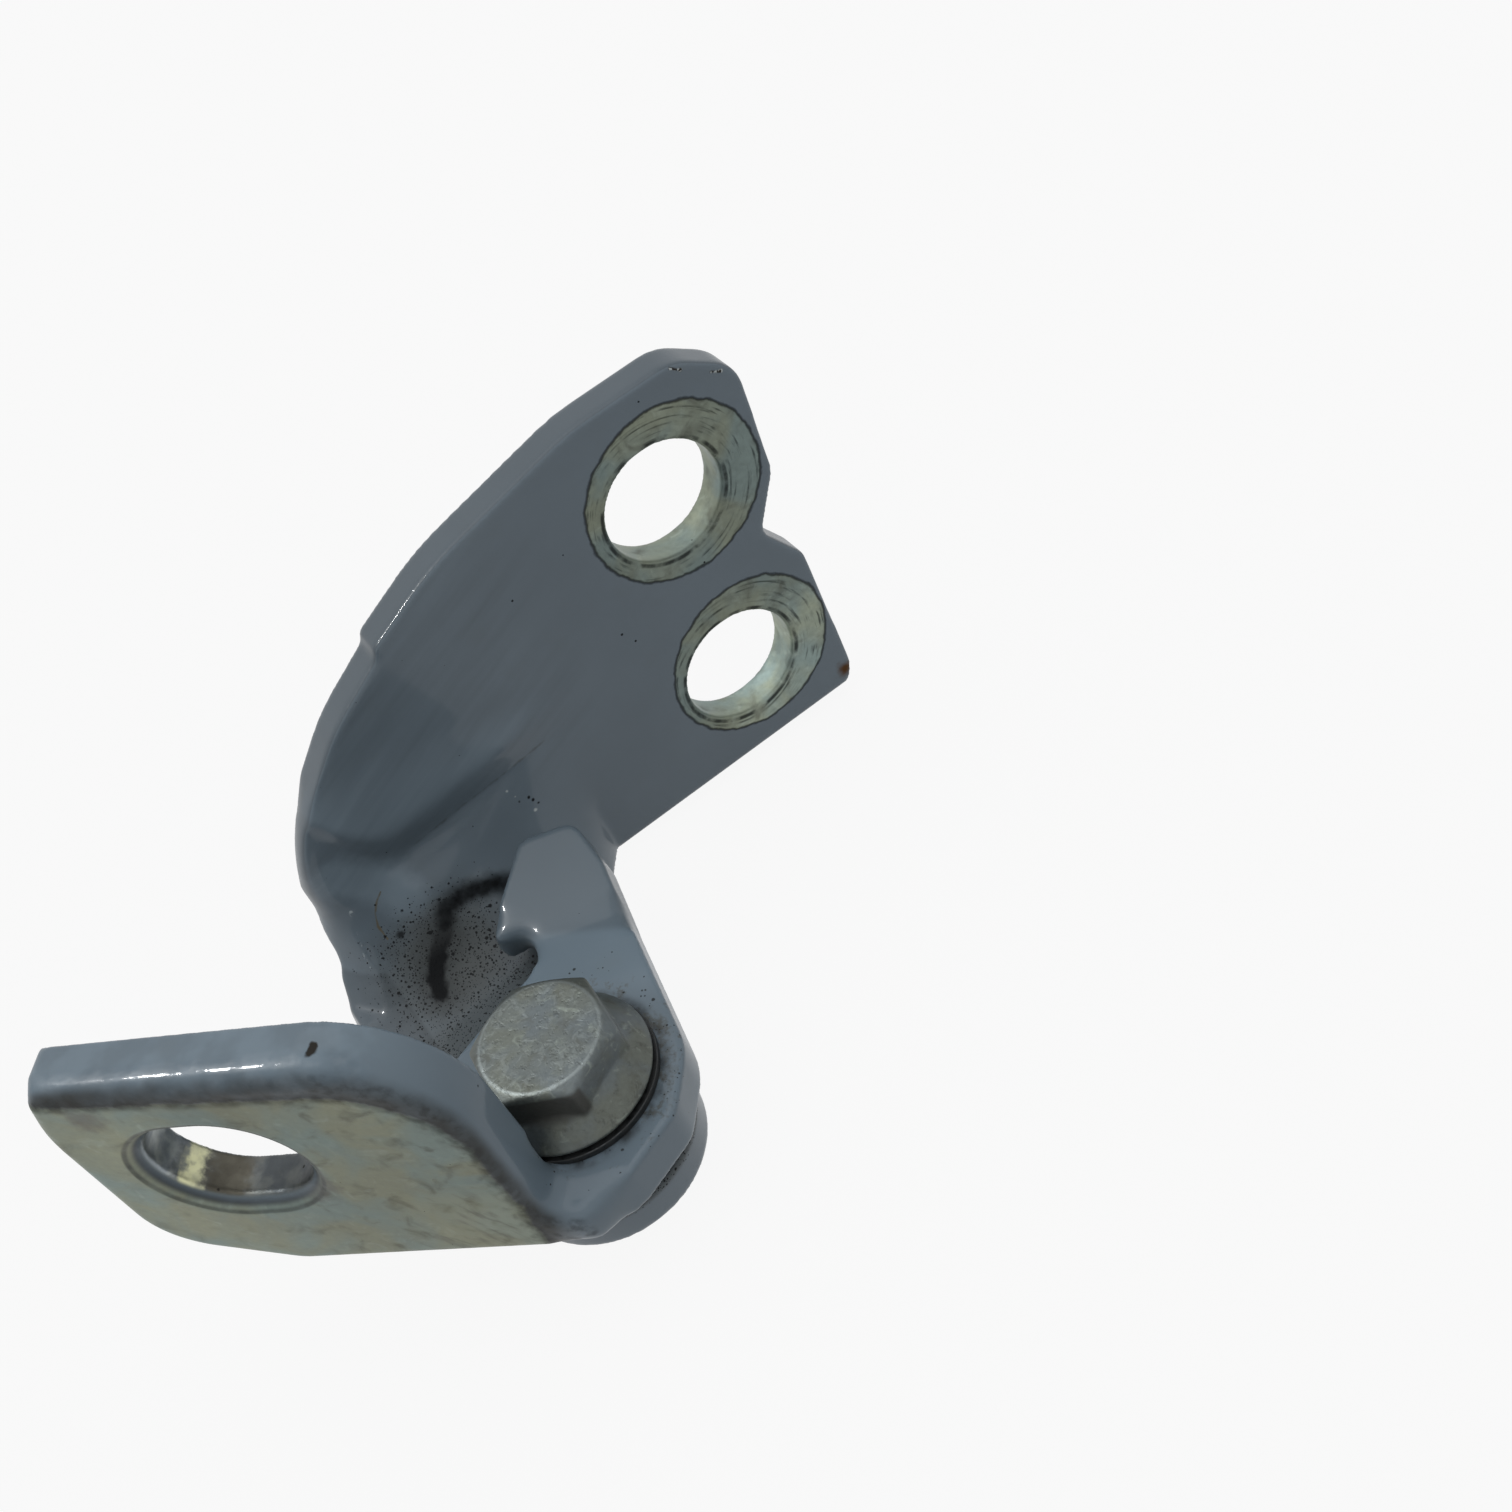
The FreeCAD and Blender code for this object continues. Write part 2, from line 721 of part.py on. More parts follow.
# The flanged bush that is pressed into the boss, and the washer below it.
bush_inside = pin_round + size("pin_clear")
bush_top = floor_top + size("bush_flange_thick")
bush = turned_body(
    "pivot_bush",
    [
        (bush_inside, floor_low),
        (size("bush_round"), floor_low),
        (size("bush_round"), floor_top),
        (size("bush_flange_round"), floor_top),
        (size("bush_flange_round"), bush_top),
        (bush_inside, bush_top),
    ],
)
low_washer = turned_body(
    "lower_washer",
    [
        (bush_inside, washer_low),
        (size("low_washer_round"), washer_low),
        (size("low_washer_round"), floor_low),
        (bush_inside, floor_low),
    ],
)

# The flanged hexagon bolt that clamps the door bracket to the pin's neck, on
# a thin ring.
ring_thick = size("ring_thick")
ring = turned_body(
    "ring_washer",
    [
        (size("ring_inside"), 0),
        (size("ring_round"), 0),
        (size("ring_round"), ring_thick),
        (size("ring_inside"), ring_thick),
    ],
)
rim_top = ring_thick + size("flange_rim")
cone_top = rim_top + size("flange_cone")
head_top = cone_top + size("hex_high")
bolt_edge = size("bolt_round") * 0.16
rim_edge = size("flange_rim") * 0.25
bolt = turned_body(
    "flange_bolt",
    [
        (0, bolt_low),
        (size("bolt_round") - bolt_edge, bolt_low),
        (size("bolt_round"), bolt_low + bolt_edge),
        (size("bolt_round"), ring_thick),
        (size("flange_round") * 0.873, ring_thick),
        (size("flange_round"), rim_top - size("flange_rim") * 0.6),
        (size("flange_round"), rim_top - rim_edge),
        (size("flange_round") - rim_edge, rim_top),
        (size("cone_round"), cone_top),
        (0, cone_top),
    ],
)
hexagon = new_sketch(bolt, "XY_Plane", "hexagon")
hexagon.setExpression("AttachmentOffset.Base.z", None)
hexagon.setExpression(
    "AttachmentOffset",
    f"placement(vector(0; 0; {rim_top.text}); rotation({size('hex_angle').text}; 0; 0))",
)
corner_round = size("hex_across") / math.sqrt(3)
draw_outline(
    hexagon,
    [
        (corner_round * math.cos(math.radians(a)), corner_round * math.sin(math.radians(a)))
        for a in range(0, 360, 60)
    ],
)
pad(bolt, hexagon, size("flange_cone") + size("hex_high"), "hexagon_head")
doc.recompute()
crown = size("crown_round")
crown_sketch = draw_outline(
    new_sketch(bolt, "XZ_Plane", "crown_profile"),
    [
        (crown, head_top),
        (crown * 1.4, head_top - size("crown_drop") * 1.6),
        (crown * 1.4, head_top + size("crown_drop")),
        (crown, head_top + size("crown_drop")),
    ],
)
crown_cut = bolt.newObject("PartDesign::Groove", "crown")
crown_cut.Profile = crown_sketch
crown_cut.ReferenceAxis = (crown_sketch, ["V_Axis"])
crown_cut.Angle = 360
for body in (pin, ring, bolt):
    body.setExpression("Placement.Rotation", f"rotation({size('photo_angle').text}; 0; 0)")
doc.recompute()

PIECES = (door, bracket, pin, bush, low_washer, ring, bolt)
for item in doc.Objects:
    assert not {"Invalid", "Error"} & set(item.State), f"{item.Name}: {item.State}"
for body in PIECES:
    shape = body.Shape
    assert not shape.isNull() and shape.isValid() and len(shape.Solids) == 1, body.Label
    assert near(body.Placement.Base.Length, 0), body.Label
for body in PIECES:
    print(body.Label, round(body.Shape.Volume, 1), body.Shape.optimalBoundingBox(False))
    body.Shape.exportStep(f"parts/{body.Label}.step")
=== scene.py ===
"""Car rear door hinge, dressed on the frame of its CAD model.

Two thick steel brackets turn on one pin. The pieces and their places come from
the frame. Their rounded edges, paint, bare zinc, dirt and the last form of one
hollow are made here. Lengths are metres in Blender, and millimetres in finishes,
flows, edges and where a name ends in _mm.
"""

import logging
import math
from abc import ABC, abstractmethod
from dataclasses import dataclass, field
from enum import Enum

import bpy
from mathutils import Matrix, Vector


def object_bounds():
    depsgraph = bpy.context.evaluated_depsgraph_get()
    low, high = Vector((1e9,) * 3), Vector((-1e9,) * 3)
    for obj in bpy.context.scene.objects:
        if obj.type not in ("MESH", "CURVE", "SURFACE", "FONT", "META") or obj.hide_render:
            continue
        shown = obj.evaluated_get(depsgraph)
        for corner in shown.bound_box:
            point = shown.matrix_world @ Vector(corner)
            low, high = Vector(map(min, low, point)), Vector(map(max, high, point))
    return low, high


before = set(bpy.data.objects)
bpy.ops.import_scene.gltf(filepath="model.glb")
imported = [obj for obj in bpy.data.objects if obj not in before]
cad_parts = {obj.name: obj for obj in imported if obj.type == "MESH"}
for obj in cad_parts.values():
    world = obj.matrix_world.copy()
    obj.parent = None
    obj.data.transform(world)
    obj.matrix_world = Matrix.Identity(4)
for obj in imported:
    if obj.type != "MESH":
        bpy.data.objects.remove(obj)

log = logging.getLogger("rear_door_hinge")

CAD_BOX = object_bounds()
MM = 0.001
SEAM_MM = 0.001
SMOOTHING = 0.5
DOOR_TURN = math.radians(39.3)

# A place in mm, a soft step's start and stop, a socket, and what feeds a socket
Spot = tuple[float, float, float]
Fade = tuple[float, float]
Socket = bpy.types.NodeSocket
Feed = Socket | float | Spot


class Side(Enum):
    """The two bodies of the hinge, named as the frame names them."""

    BODY = "body_side"
    DOOR = "door_side"


class Axis(Enum):
    """The output of a split vector that holds each coordinate."""

    X = 0
    Y = 1
    Z = 2


@dataclass(frozen=True)
class Tone:
    """A plain colour in linear light."""

    red: float
    green: float
    blue: float

    def rgba(self) -> tuple[float, float, float, float]:
        """The colour with full cover, as a colour socket wants it."""
        return (self.red, self.green, self.blue, 1.0)


class Board:
    """A node tree with short calls that add nodes and wire them."""

    def __init__(self, tree: bpy.types.NodeTree) -> None:
        """Keeps the tree that the calls work on.

        Args:
            tree: a material's or a group's node tree.
        """
        self.tree = tree

    def node(self, kind: str, **settings: object) -> bpy.types.Node:
        """Adds one node.

        Args:
            kind: the node's Blender type.
            **settings: properties of the node, such as its operation.

        Returns:
            The new node.
        """
        made = self.tree.nodes.new(kind)
        for key, value in settings.items():
            setattr(made, key, value)
        return made

    def feed(self, target: Socket, source: Feed | Tone) -> None:
        """Wires a socket to another, or sets it to a plain value.

        Args:
            target: the input to fill.
            source: an output, a number, a vector or a colour.
        """
        if isinstance(source, bpy.types.NodeSocket):
            self.tree.links.new(source, target)
        elif isinstance(source, Tone):
            target.default_value = source.rgba()
        else:
            target.default_value = source

    def math(self, operation: str, first: Feed, second: Feed = 0.0, third: Feed = 0.0) -> Socket:
        """One step of arithmetic on numbers.

        Args:
            operation: a Math node operation, such as MULTIPLY.
            first: the first operand.
            second: the second operand.
            third: the third operand, for operations that have one.

        Returns:
            The result.
        """
        made = self.node("ShaderNodeMath", operation=operation)
        for socket, value in zip(made.inputs, (first, second, third)):
            self.feed(socket, value)
        return made.outputs[0]

    def vector(self, operation: str, first: Feed, second: Feed = (0.0, 0.0, 0.0)) -> Socket:
        """One step of arithmetic on vectors.

        Args:
            operation: a Vector Math node operation, such as SUBTRACT.
            first: the first vector.
            second: the second vector, or the factor of SCALE.

        Returns:
            The resulting vector, or the number where the operation gives one.
        """
        made = self.node("ShaderNodeVectorMath", operation=operation)
        self.feed(made.inputs[0], first)
        self.feed(made.inputs["Scale"] if operation == "SCALE" else made.inputs[1], second)
        gives_number = operation in ("LENGTH", "DISTANCE", "DOT_PRODUCT")
        return made.outputs["Value" if gives_number else "Vector"]

    def split(self, vector: Socket) -> tuple[Socket, Socket, Socket]:
        """The three coordinates of a vector."""
        made = self.node("ShaderNodeSeparateXYZ")
        self.feed(made.inputs[0], vector)
        return made.outputs[Axis.X.value], made.outputs[Axis.Y.value], made.outputs[Axis.Z.value]

    def joined(self, x: Feed, y: Feed, z: Feed) -> Socket:
        """Joins three numbers to a vector.

        Args:
            x: the first coordinate.
            y: the second coordinate.
            z: the third coordinate.

        Returns:
            The vector.
        """
        made = self.node("ShaderNodeCombineXYZ")
        for socket, value in zip(made.inputs, (x, y, z)):
            self.feed(socket, value)
        return made.outputs[0]

    def ease(self, value: Feed, start: float, stop: float) -> Socket:
        """Makes a soft step from 0 at start to 1 at stop; start may be the larger.

        Args:
            value: the number to test.
            start: where the step is still 0.
            stop: where the step has reached 1.

        Returns:
            A mask from 0 to 1.
        """
        made = self.node("ShaderNodeMapRange", interpolation_type="SMOOTHSTEP")
        self.feed(made.inputs["Value"], value)
        low, high = (start, stop) if start < stop else (stop, start)
        made.inputs["From Min"].default_value = low
        made.inputs["From Max"].default_value = high
        made.inputs["To Min"].default_value = 0.0 if start < stop else 1.0
        made.inputs["To Max"].default_value = 1.0 if start < stop else 0.0
        return made.outputs["Result"]

    def gap(self, first: Feed, second: Feed) -> Socket:
        """How far two numbers lie apart."""
        return self.math("ABSOLUTE", self.math("SUBTRACT", first, second))

    def both(self, *masks: Feed) -> Socket:
        """Finds where every mask holds, each with its share.

        Args:
            *masks: the masks and shares.

        Returns:
            Their product.
        """
        result = masks[0]
        for mask in masks[1:]:
            result = self.math("MULTIPLY", result, mask)
        return result

    def either(self, *masks: Feed) -> Socket:
        """Finds where any of the masks holds.

        Args:
            *masks: the masks.

        Returns:
            The strongest of them.
        """
        result = masks[0]
        for mask in masks[1:]:
            result = self.math("MAXIMUM", result, mask)
        return result

    def without(self, mask: Feed) -> Socket:
        """Where the mask doesn't hold."""
        return self.math("SUBTRACT", 1.0, mask)

    def tint(self, mask: Feed, first: Feed | Tone, second: Feed | Tone) -> Socket:
        """Goes from one colour to another with a mask.

        Args:
            mask: how much of the second colour shows.
            first: the colour where the mask is 0.
            second: the colour where the mask is 1.

        Returns:
            The colour.
        """
        made = self.node("ShaderNodeMix", data_type="RGBA")
        self.feed(made.inputs[0], mask)
        self.feed(made.inputs[6], first)
        self.feed(made.inputs[7], second)
        return made.outputs[2]

    def shade(self, colour: Feed, share: Feed) -> Socket:
        """A colour made lighter or darker by a share."""
        return self.vector("SCALE", colour, share)

    def between(self, mask: Feed, first: Feed, second: Feed) -> Socket:
        """Goes from one number to another with a mask.

        Args:
            mask: how much of the second number counts.
            first: the number where the mask is 0.
            second: the number where the mask is 1.

        Returns:
            The number.
        """
        made = self.node("ShaderNodeMix", data_type="FLOAT")
        self.feed(made.inputs[0], mask)
        self.feed(made.inputs[2], first)
        self.feed(made.inputs[3], second)
        return made.outputs[0]

    def noise(self, point: Feed, grain_mm: float, detail: float = 2.0, bend: float = 0.0) -> Socket:
        """Adds soft noise whose lumps are about grain_mm across.

        Args:
            point: the place in millimetres.
            grain_mm: the size of a lump.
            detail: how many finer layers ride on it.
            bend: how far the lumps are drawn out of shape.

        Returns:
            A number around 0.5.
        """
        made = self.node("ShaderNodeTexNoise")
        self.feed(made.inputs["Vector"], point)
        made.inputs["Scale"].default_value = 1.0 / grain_mm
        made.inputs["Detail"].default_value = detail
        made.inputs["Distortion"].default_value = bend
        return made.outputs["Fac"]

    def lumps(self, point: Feed, grain_mm: float, detail: float) -> Socket:
        """The same noise around 0, to sway an outline."""
        return self.math("SUBTRACT", self.noise(point, grain_mm, detail), 0.5)

    def place(self, group: bpy.types.NodeTree, **inputs: Feed | Tone) -> bpy.types.Node:
        """Places a node group.

        Args:
            group: the group's tree.
            **inputs: what each named socket gets, with _ for a space.

        Returns:
            The group's node.
        """
        made = self.node("ShaderNodeGroup", node_tree=group)
        for key, value in inputs.items():
            self.feed(made.inputs[key.replace("_", " ")], value)
        return made


class Kind(Enum):
    """The socket types that the effect groups have."""

    NUMBER = "NodeSocketFloat"
    VECTOR = "NodeSocketVector"
    COLOUR = "NodeSocketColor"


class Effects:
    """The shared effects, each one node group that is built once."""

    paint_haze: Tone = Tone(0.15, 0.18, 0.195)
    zinc_pale: Tone = Tone(0.34, 0.39, 0.34)

    def __init__(self) -> None:
        """Builds every group."""
        self.spot = self.build_spot()
        self.streak = self.build_streak()
        self.speckle = self.build_speckle()
        self.paint = self.build_paint()
        self.zinc = self.build_zinc()
        self.grime = self.build_grime()

    @staticmethod
    def group(
        name: str, takes: dict[str, Kind], gives: dict[str, Kind]
    ) -> tuple[Board, bpy.types.Node, bpy.types.Node]:
        """Starts a node group.

        Args:
            name: the group's name.
            takes: its inputs.
            gives: its outputs.

        Returns:
            A board on its tree, its input node and its output node.
        """
        tree = bpy.data.node_groups.new(name, "ShaderNodeTree")
        for way, sockets in (("INPUT", takes), ("OUTPUT", gives)):
            for label, kind in sockets.items():
                tree.interface.new_socket(name=label, in_out=way, socket_type=kind.value)
        board = Board(tree)
        return board, board.node("NodeGroupInput"), board.node("NodeGroupOutput")

    def build_spot(self) -> bpy.types.NodeTree:
        """Builds a round mark with a ragged rim about a centre.

        Returns:
            The group's tree.
        """
        board, takes, gives = self.group(
            "round_mark",
            {
                "Point": Kind.VECTOR,
                "Centre": Kind.VECTOR,
                "Reach": Kind.NUMBER,
                "Soft": Kind.NUMBER,
                "Ragged": Kind.NUMBER,
            },
            {"Mask": Kind.NUMBER},
        )
        point = takes.outputs["Point"]
        away = board.vector("DISTANCE", point, takes.outputs["Centre"])
        away = board.math("MULTIPLY_ADD", board.lumps(point, 1.6, 3.0), takes.outputs["Ragged"], away)
        past = board.math("SUBTRACT", away, takes.outputs["Reach"])
        share = board.math("DIVIDE", past, takes.outputs["Soft"])
        board.feed(gives.inputs["Mask"], board.ease(share, 1.0, 0.0))
        return board.tree

    def build_streak(self) -> bpy.types.NodeTree:
        """Builds a streak from one point to another, with soft ragged sides.

        Returns:
            The group's tree.
        """
        board, takes, gives = self.group(
            "streak",
            {
                "Point": Kind.VECTOR,
                "Start": Kind.VECTOR,
                "Stop": Kind.VECTOR,
                "Half Width": Kind.NUMBER,
                "Soft": Kind.NUMBER,
                "Ragged": Kind.NUMBER,
            },
            {"Mask": Kind.NUMBER},
        )
        point, start = takes.outputs["Point"], takes.outputs["Start"]
        run = board.vector("SUBTRACT", takes.outputs["Stop"], start)
        off = board.vector("SUBTRACT", point, start)
        along = board.math(
            "DIVIDE", board.vector("DOT_PRODUCT", off, run), board.vector("DOT_PRODUCT", run, run)
        )
        along = board.math("MINIMUM", board.math("MAXIMUM", along, 0.0), 1.0)
        away = board.vector("DISTANCE", off, board.vector("SCALE", run, along))
        away = board.math("MULTIPLY_ADD", board.lumps(point, 1.3, 3.0), takes.outputs["Ragged"], away)
        past = board.math("SUBTRACT", away, takes.outputs["Half Width"])
        share = board.math("DIVIDE", past, takes.outputs["Soft"])
        board.feed(gives.inputs["Mask"], board.ease(share, 1.0, 0.0))
        return board.tree

    def build_speckle(self) -> bpy.types.NodeTree:
        """Builds scattered dots of dirt, large and small; Amount sets how many.

        Returns:
            The group's tree.
        """
        board, takes, gives = self.group(
            "dirt_speckle",
            {"Point": Kind.VECTOR, "Amount": Kind.NUMBER, "Spacing": Kind.NUMBER},
            {"Mask": Kind.NUMBER},
        )
        amount = takes.outputs["Amount"]
        dots = []
        for share, seed in ((1.0, 0.0), (0.55, 7.3)):
            shifted = board.vector("ADD", takes.outputs["Point"], (seed, seed * 2.0, -seed))
            spacing = board.math("MULTIPLY", takes.outputs["Spacing"], share)
            cells = board.node("ShaderNodeTexVoronoi", feature="F1")
            board.feed(cells.inputs["Vector"], shifted)
            board.feed(cells.inputs["Scale"], board.math("DIVIDE", 1.0, spacing))
            cells.inputs["Randomness"].default_value = 1.0
            pick, size, _ = board.split(cells.outputs["Color"])
            there = board.math("LESS_THAN", pick, amount)
            reach = board.math("MULTIPLY_ADD", board.math("POWER", size, 2.0), 0.24, 0.13)
            ragged = board.lumps(shifted, 0.22, 2.0)
            away = board.math("MULTIPLY_ADD", ragged, 0.22, cells.outputs["Distance"])
            share_in = board.math("DIVIDE", away, reach)
            dots.append(board.both(board.ease(share_in, 1.2, 0.75), there))
        board.feed(gives.inputs["Mask"], board.either(*dots))
        return board.tree

    def build_paint(self) -> bpy.types.NodeTree:
        """Builds sprayed paint: a quiet mottle and the skin of orange peel.

        Returns:
            The group's tree.
        """
        board, takes, gives = self.group(
            "paint_skin",
            {"Point": Kind.VECTOR, "Tone": Kind.COLOUR, "Ripple": Kind.NUMBER},
            {"Colour": Kind.COLOUR, "Height": Kind.NUMBER, "Rough": Kind.NUMBER},
        )
        point = takes.outputs["Point"]
        clouds = board.noise(point, 14.0, 3.0)
        cast = board.noise(board.vector("ADD", point, (40.0, 0.0, 0.0)), 5.0, 4.0)
        share = board.math("MULTIPLY_ADD", clouds, 0.22, 0.89)
        colour = board.shade(takes.outputs["Tone"], share)
        haze = board.ease(cast, 0.52, 0.78)
        colour = board.tint(board.both(haze, 0.2), colour, self.paint_haze)
        board.feed(gives.inputs["Colour"], colour)
        peel = board.math("MULTIPLY", board.noise(point, 0.9, 1.0), 0.0022)
        swell = board.math("MULTIPLY", board.noise(point, 6.0, 1.0), 0.02)
        lumps = board.math("MULTIPLY", board.noise(point, 1.9, 2.0), takes.outputs["Ripple"])
        height = board.math("ADD", board.math("ADD", peel, swell), lumps)
        board.feed(gives.inputs["Height"], height)
        board.feed(gives.inputs["Rough"], board.math("MULTIPLY_ADD", cast, 0.14, 0.3))
        return board.tree

    def build_zinc(self) -> bpy.types.NodeTree:
        """Builds bare zinc plating gone dull: two hues, pale clouds and stains.

        Returns:
            The group's tree.
        """
        board, takes, gives = self.group(
            "dull_zinc",
            {
                "Point": Kind.VECTOR,
                "Tone": Kind.COLOUR,
                "Second Tone": Kind.COLOUR,
                "Stain Tone": Kind.COLOUR,
                "Stain": Kind.NUMBER,
            },
            {"Colour": Kind.COLOUR, "Height": Kind.NUMBER, "Rough": Kind.NUMBER},
        )
        point = takes.outputs["Point"]
        drift = board.ease(board.noise(point, 9.0, 3.0, 0.6), 0.34, 0.66)
        colour = board.tint(drift, takes.outputs["Tone"], takes.outputs["Second Tone"])
        grit = board.noise(point, 0.8, 4.0)
        colour = board.shade(colour, board.math("MULTIPLY_ADD", grit, 0.5, 0.75))
        clouds = board.noise(board.vector("ADD", point, (3.0, 31.0, 8.0)), 16.0, 2.0)
        colour = board.shade(colour, board.math("MULTIPLY_ADD", clouds, 0.5, 0.75))
        pale = board.ease(board.noise(point, 2.6, 5.0, 1.0), 0.55, 0.78)
        colour = board.tint(board.both(pale, 0.3), colour, self.zinc_pale)
        smudge = board.noise(board.vector("ADD", point, (17.0, 9.0, 3.0)), 3.0, 6.0, 0.5)
        stained = board.both(board.ease(smudge, 0.5, 0.8), takes.outputs["Stain"])
        colour = board.tint(stained, colour, takes.outputs["Stain Tone"])
        board.feed(gives.inputs["Colour"], colour)
        pits = board.math("MULTIPLY", board.noise(point, 0.45, 3.0), 0.014)
        waves = board.math("MULTIPLY", board.noise(point, 2.4, 2.0), 0.03)
        board.feed(gives.inputs["Height"], board.math("ADD", pits, waves))
        rough = board.math("MULTIPLY_ADD", grit, 0.25, 0.3)
        board.feed(gives.inputs["Rough"], board.math("MULTIPLY_ADD", stained, 0.25, rough))
        return board.tree

    def build_grime(self) -> bpy.types.NodeTree:
        """Builds a thin film of dust that breaks up into patches.

        Returns:
            The group's tree.
        """
        board, takes, gives = self.group(
            "grime_film",
            {"Point": Kind.VECTOR, "Amount": Kind.NUMBER, "Grain": Kind.NUMBER},
            {"Mask": Kind.NUMBER},
        )
        point = takes.outputs["Point"]
        scaled = board.vector("SCALE", point, board.math("DIVIDE", 1.0, takes.outputs["Grain"]))
        patches = board.noise(scaled, 3.0, 6.0, 0.5)
        fine = board.noise(scaled, 0.5, 3.0)
        cover = board.math("MULTIPLY_ADD", fine, 0.5, patches)
        lowest = board.math("MULTIPLY_ADD", takes.outputs["Amount"], -0.55, 1.05)
        over = board.math("SUBTRACT", cover, lowest)
        mask = board.math("MINIMUM", board.ease(over, 0.0, 0.3), takes.outputs["Amount"])
        board.feed(gives.inputs["Mask"], mask)
        return board.tree


@dataclass(frozen=True)
class Run:
    """The metal within reach of a line, less and less to the end of its fade."""

    start: Spot
    stop: Spot
    reach: float
    fade: float
    share: float = 1.0

    def mask(self, board: Board, point: Socket) -> Socket:
        """How much a point belongs to the run.

        Args:
            board: the tree to build in.
            point: the place in millimetres.

        Returns:
            A mask from 0 to the run's share.
        """
        way = Vector(self.stop) - Vector(self.start)
        off = board.vector("SUBTRACT", point, self.start)
        dot = board.vector("DOT_PRODUCT", off, tuple(way))
        along = board.math("DIVIDE", dot, max(way.length_squared, 1e-6))
        along = board.math("MINIMUM", board.math("MAXIMUM", along, 0.0), 1.0)
        away = board.vector("DISTANCE", off, board.vector("SCALE", tuple(way), along))
        return board.math("MULTIPLY", board.ease(away, self.reach + self.fade, self.reach), self.share)


@dataclass(frozen=True)
class Hollow:
    """How a pressed hollow and the swelling over it are drawn in a plate's front.

    The crease under the hollow rises to the right and turns up at its left end.
    The metal from the crease to an upper line swells to the front.
    """

    run: Run
    floor: Run
    front_mm: float
    back_mm: float
    skin_mm: float
    ridge_mm: float
    ridge_slope: float
    wall_mm: float
    lower_mm: float
    curl: float
    crease_mm: float
    crease_slope: float
    turn_across: float
    turn_bend: float
    top_mm: float
    top_slope: float
    head_share: float
    right_end: Fade
    left_end: Fade
    swell_mm: float
    swollen: Fade
    dull: Fade

    def crease(self, board: Board, across: Socket) -> Socket:
        """Works out the height of the crease.

        Args:
            board: the tree to build in.
            across: the place along the plate in mm.

        Returns:
            The height in mm.
        """
        left = board.math("MAXIMUM", board.math("SUBTRACT", self.turn_across, across), 0.0)
        bent = board.both(left, left, self.turn_bend)
        line = board.math("MULTIPLY_ADD", across, self.crease_slope, self.crease_mm)
        return board.math("ADD", line, bent)

    def above(self, board: Board, across: Socket, up: Socket, foot: Fade) -> Socket:
        """Finds the metal between the crease and the swelling's upper line.

        Args:
            board: the tree to build in.
            across: the place along the plate in mm.
            up: the height in mm.
            foot: where over the crease the mask starts and is whole, in mm.

        Returns:
            The mask.
        """
        low = self.crease(board, across)
        top = board.math("MULTIPLY_ADD", across, self.top_slope, self.top_mm)
        head_mm = board.both(board.math("SUBTRACT", top, low), self.head_share)
        head = board.math("DIVIDE", board.math("SUBTRACT", top, up), head_mm)
        return board.both(
            board.ease(board.math("SUBTRACT", up, low), *foot),
            board.ease(head, 0.0, 1.0),
            board.ease(across, *self.right_end),
            board.ease(across, *self.left_end),
        )

    def skin(self, board: Board, deep: Socket) -> Socket:
        """The mask of the plate's front, which leaves its back as it is."""
        return board.ease(deep, self.back_mm, self.back_mm - self.skin_mm)


HOLLOW = Hollow(
    run=Run((1.0, 42.5, 9.0), (24.0, 42.0, 11.0), reach=14.0, fade=5.0),
    floor=Run((1.0, 43.5, 8.3), (24.0, 42.5, 10.2), reach=1.5, fade=8.0),
    front_mm=41.0,
    back_mm=45.6,
    skin_mm=0.8,
    ridge_mm=2.6,
    ridge_slope=0.13,
    wall_mm=5.6,
    lower_mm=1.8,
    curl=0.15,
    crease_mm=6.0,
    crease_slope=0.125,
    turn_across=1.5,
    turn_bend=0.14,
    top_mm=25.6,
    top_slope=-0.33,
    head_share=0.7,
    right_end=(30.0, 16.0),
    left_end=(-11.0, -5.0),
    swell_mm=0.7,
    swollen=(0.1, 5.1),
    dull=(3.2, 7.2),
)


class Finish(ABC):
    """A finish: it makes one material from the shared effects."""

    name: str

    def material(self, effects: Effects) -> bpy.types.Material:
        """Builds the finish as a material.

        Args:
            effects: the shared node groups.

        Returns:
            The material.
        """
        made = bpy.data.materials.new(self.name)
        made.use_nodes = True
        made.node_tree.nodes.clear()
        board = Board(made.node_tree)
        shader = board.node("ShaderNodeBsdfPrincipled")
        output = board.node("ShaderNodeOutputMaterial")
        board.feed(output.inputs["Surface"], shader.outputs[0])
        self.wire(board, effects, shader)
        return made

    @staticmethod
    def place_mm(board: Board, turn: float = 0.0) -> Socket:
        """Finds the place on the piece in millimetres, turned about the pivot.

        Args:
            board: the material's tree.
            turn: the angle in radians from the part's frame to the piece's own.

        Returns:
            The place as a vector.
        """
        spot = board.node("ShaderNodeTexCoord").outputs["Object"]
        scaled = board.vector("SCALE", spot, 1.0 / MM)
        if not turn:
            return scaled
        spun = board.node("ShaderNodeVectorRotate", rotation_type="Z_AXIS")
        board.feed(spun.inputs["Vector"], scaled)
        spun.inputs["Angle"].default_value = turn
        return spun.outputs[0]

    @staticmethod
    def relief(board: Board, shader: bpy.types.Node, height: Feed) -> None:
        """Turns a height in millimetres into the shading normal.

        Args:
            board: the material's tree.
            shader: its Principled node.
            height: the height in millimetres.
        """
        bump = board.node("ShaderNodeBump")
        bump.inputs["Strength"].default_value = 1.0
        bump.inputs["Distance"].default_value = MM
        board.feed(bump.inputs["Height"], height)
        board.feed(shader.inputs["Normal"], bump.outputs[0])

    @abstractmethod
    def wire(self, board: Board, effects: Effects, shader: bpy.types.Node) -> None:
        """Wires the finish into its Principled node.

        Args:
            board: the material's tree.
            effects: the shared node groups.
            shader: its Principled node.
        """


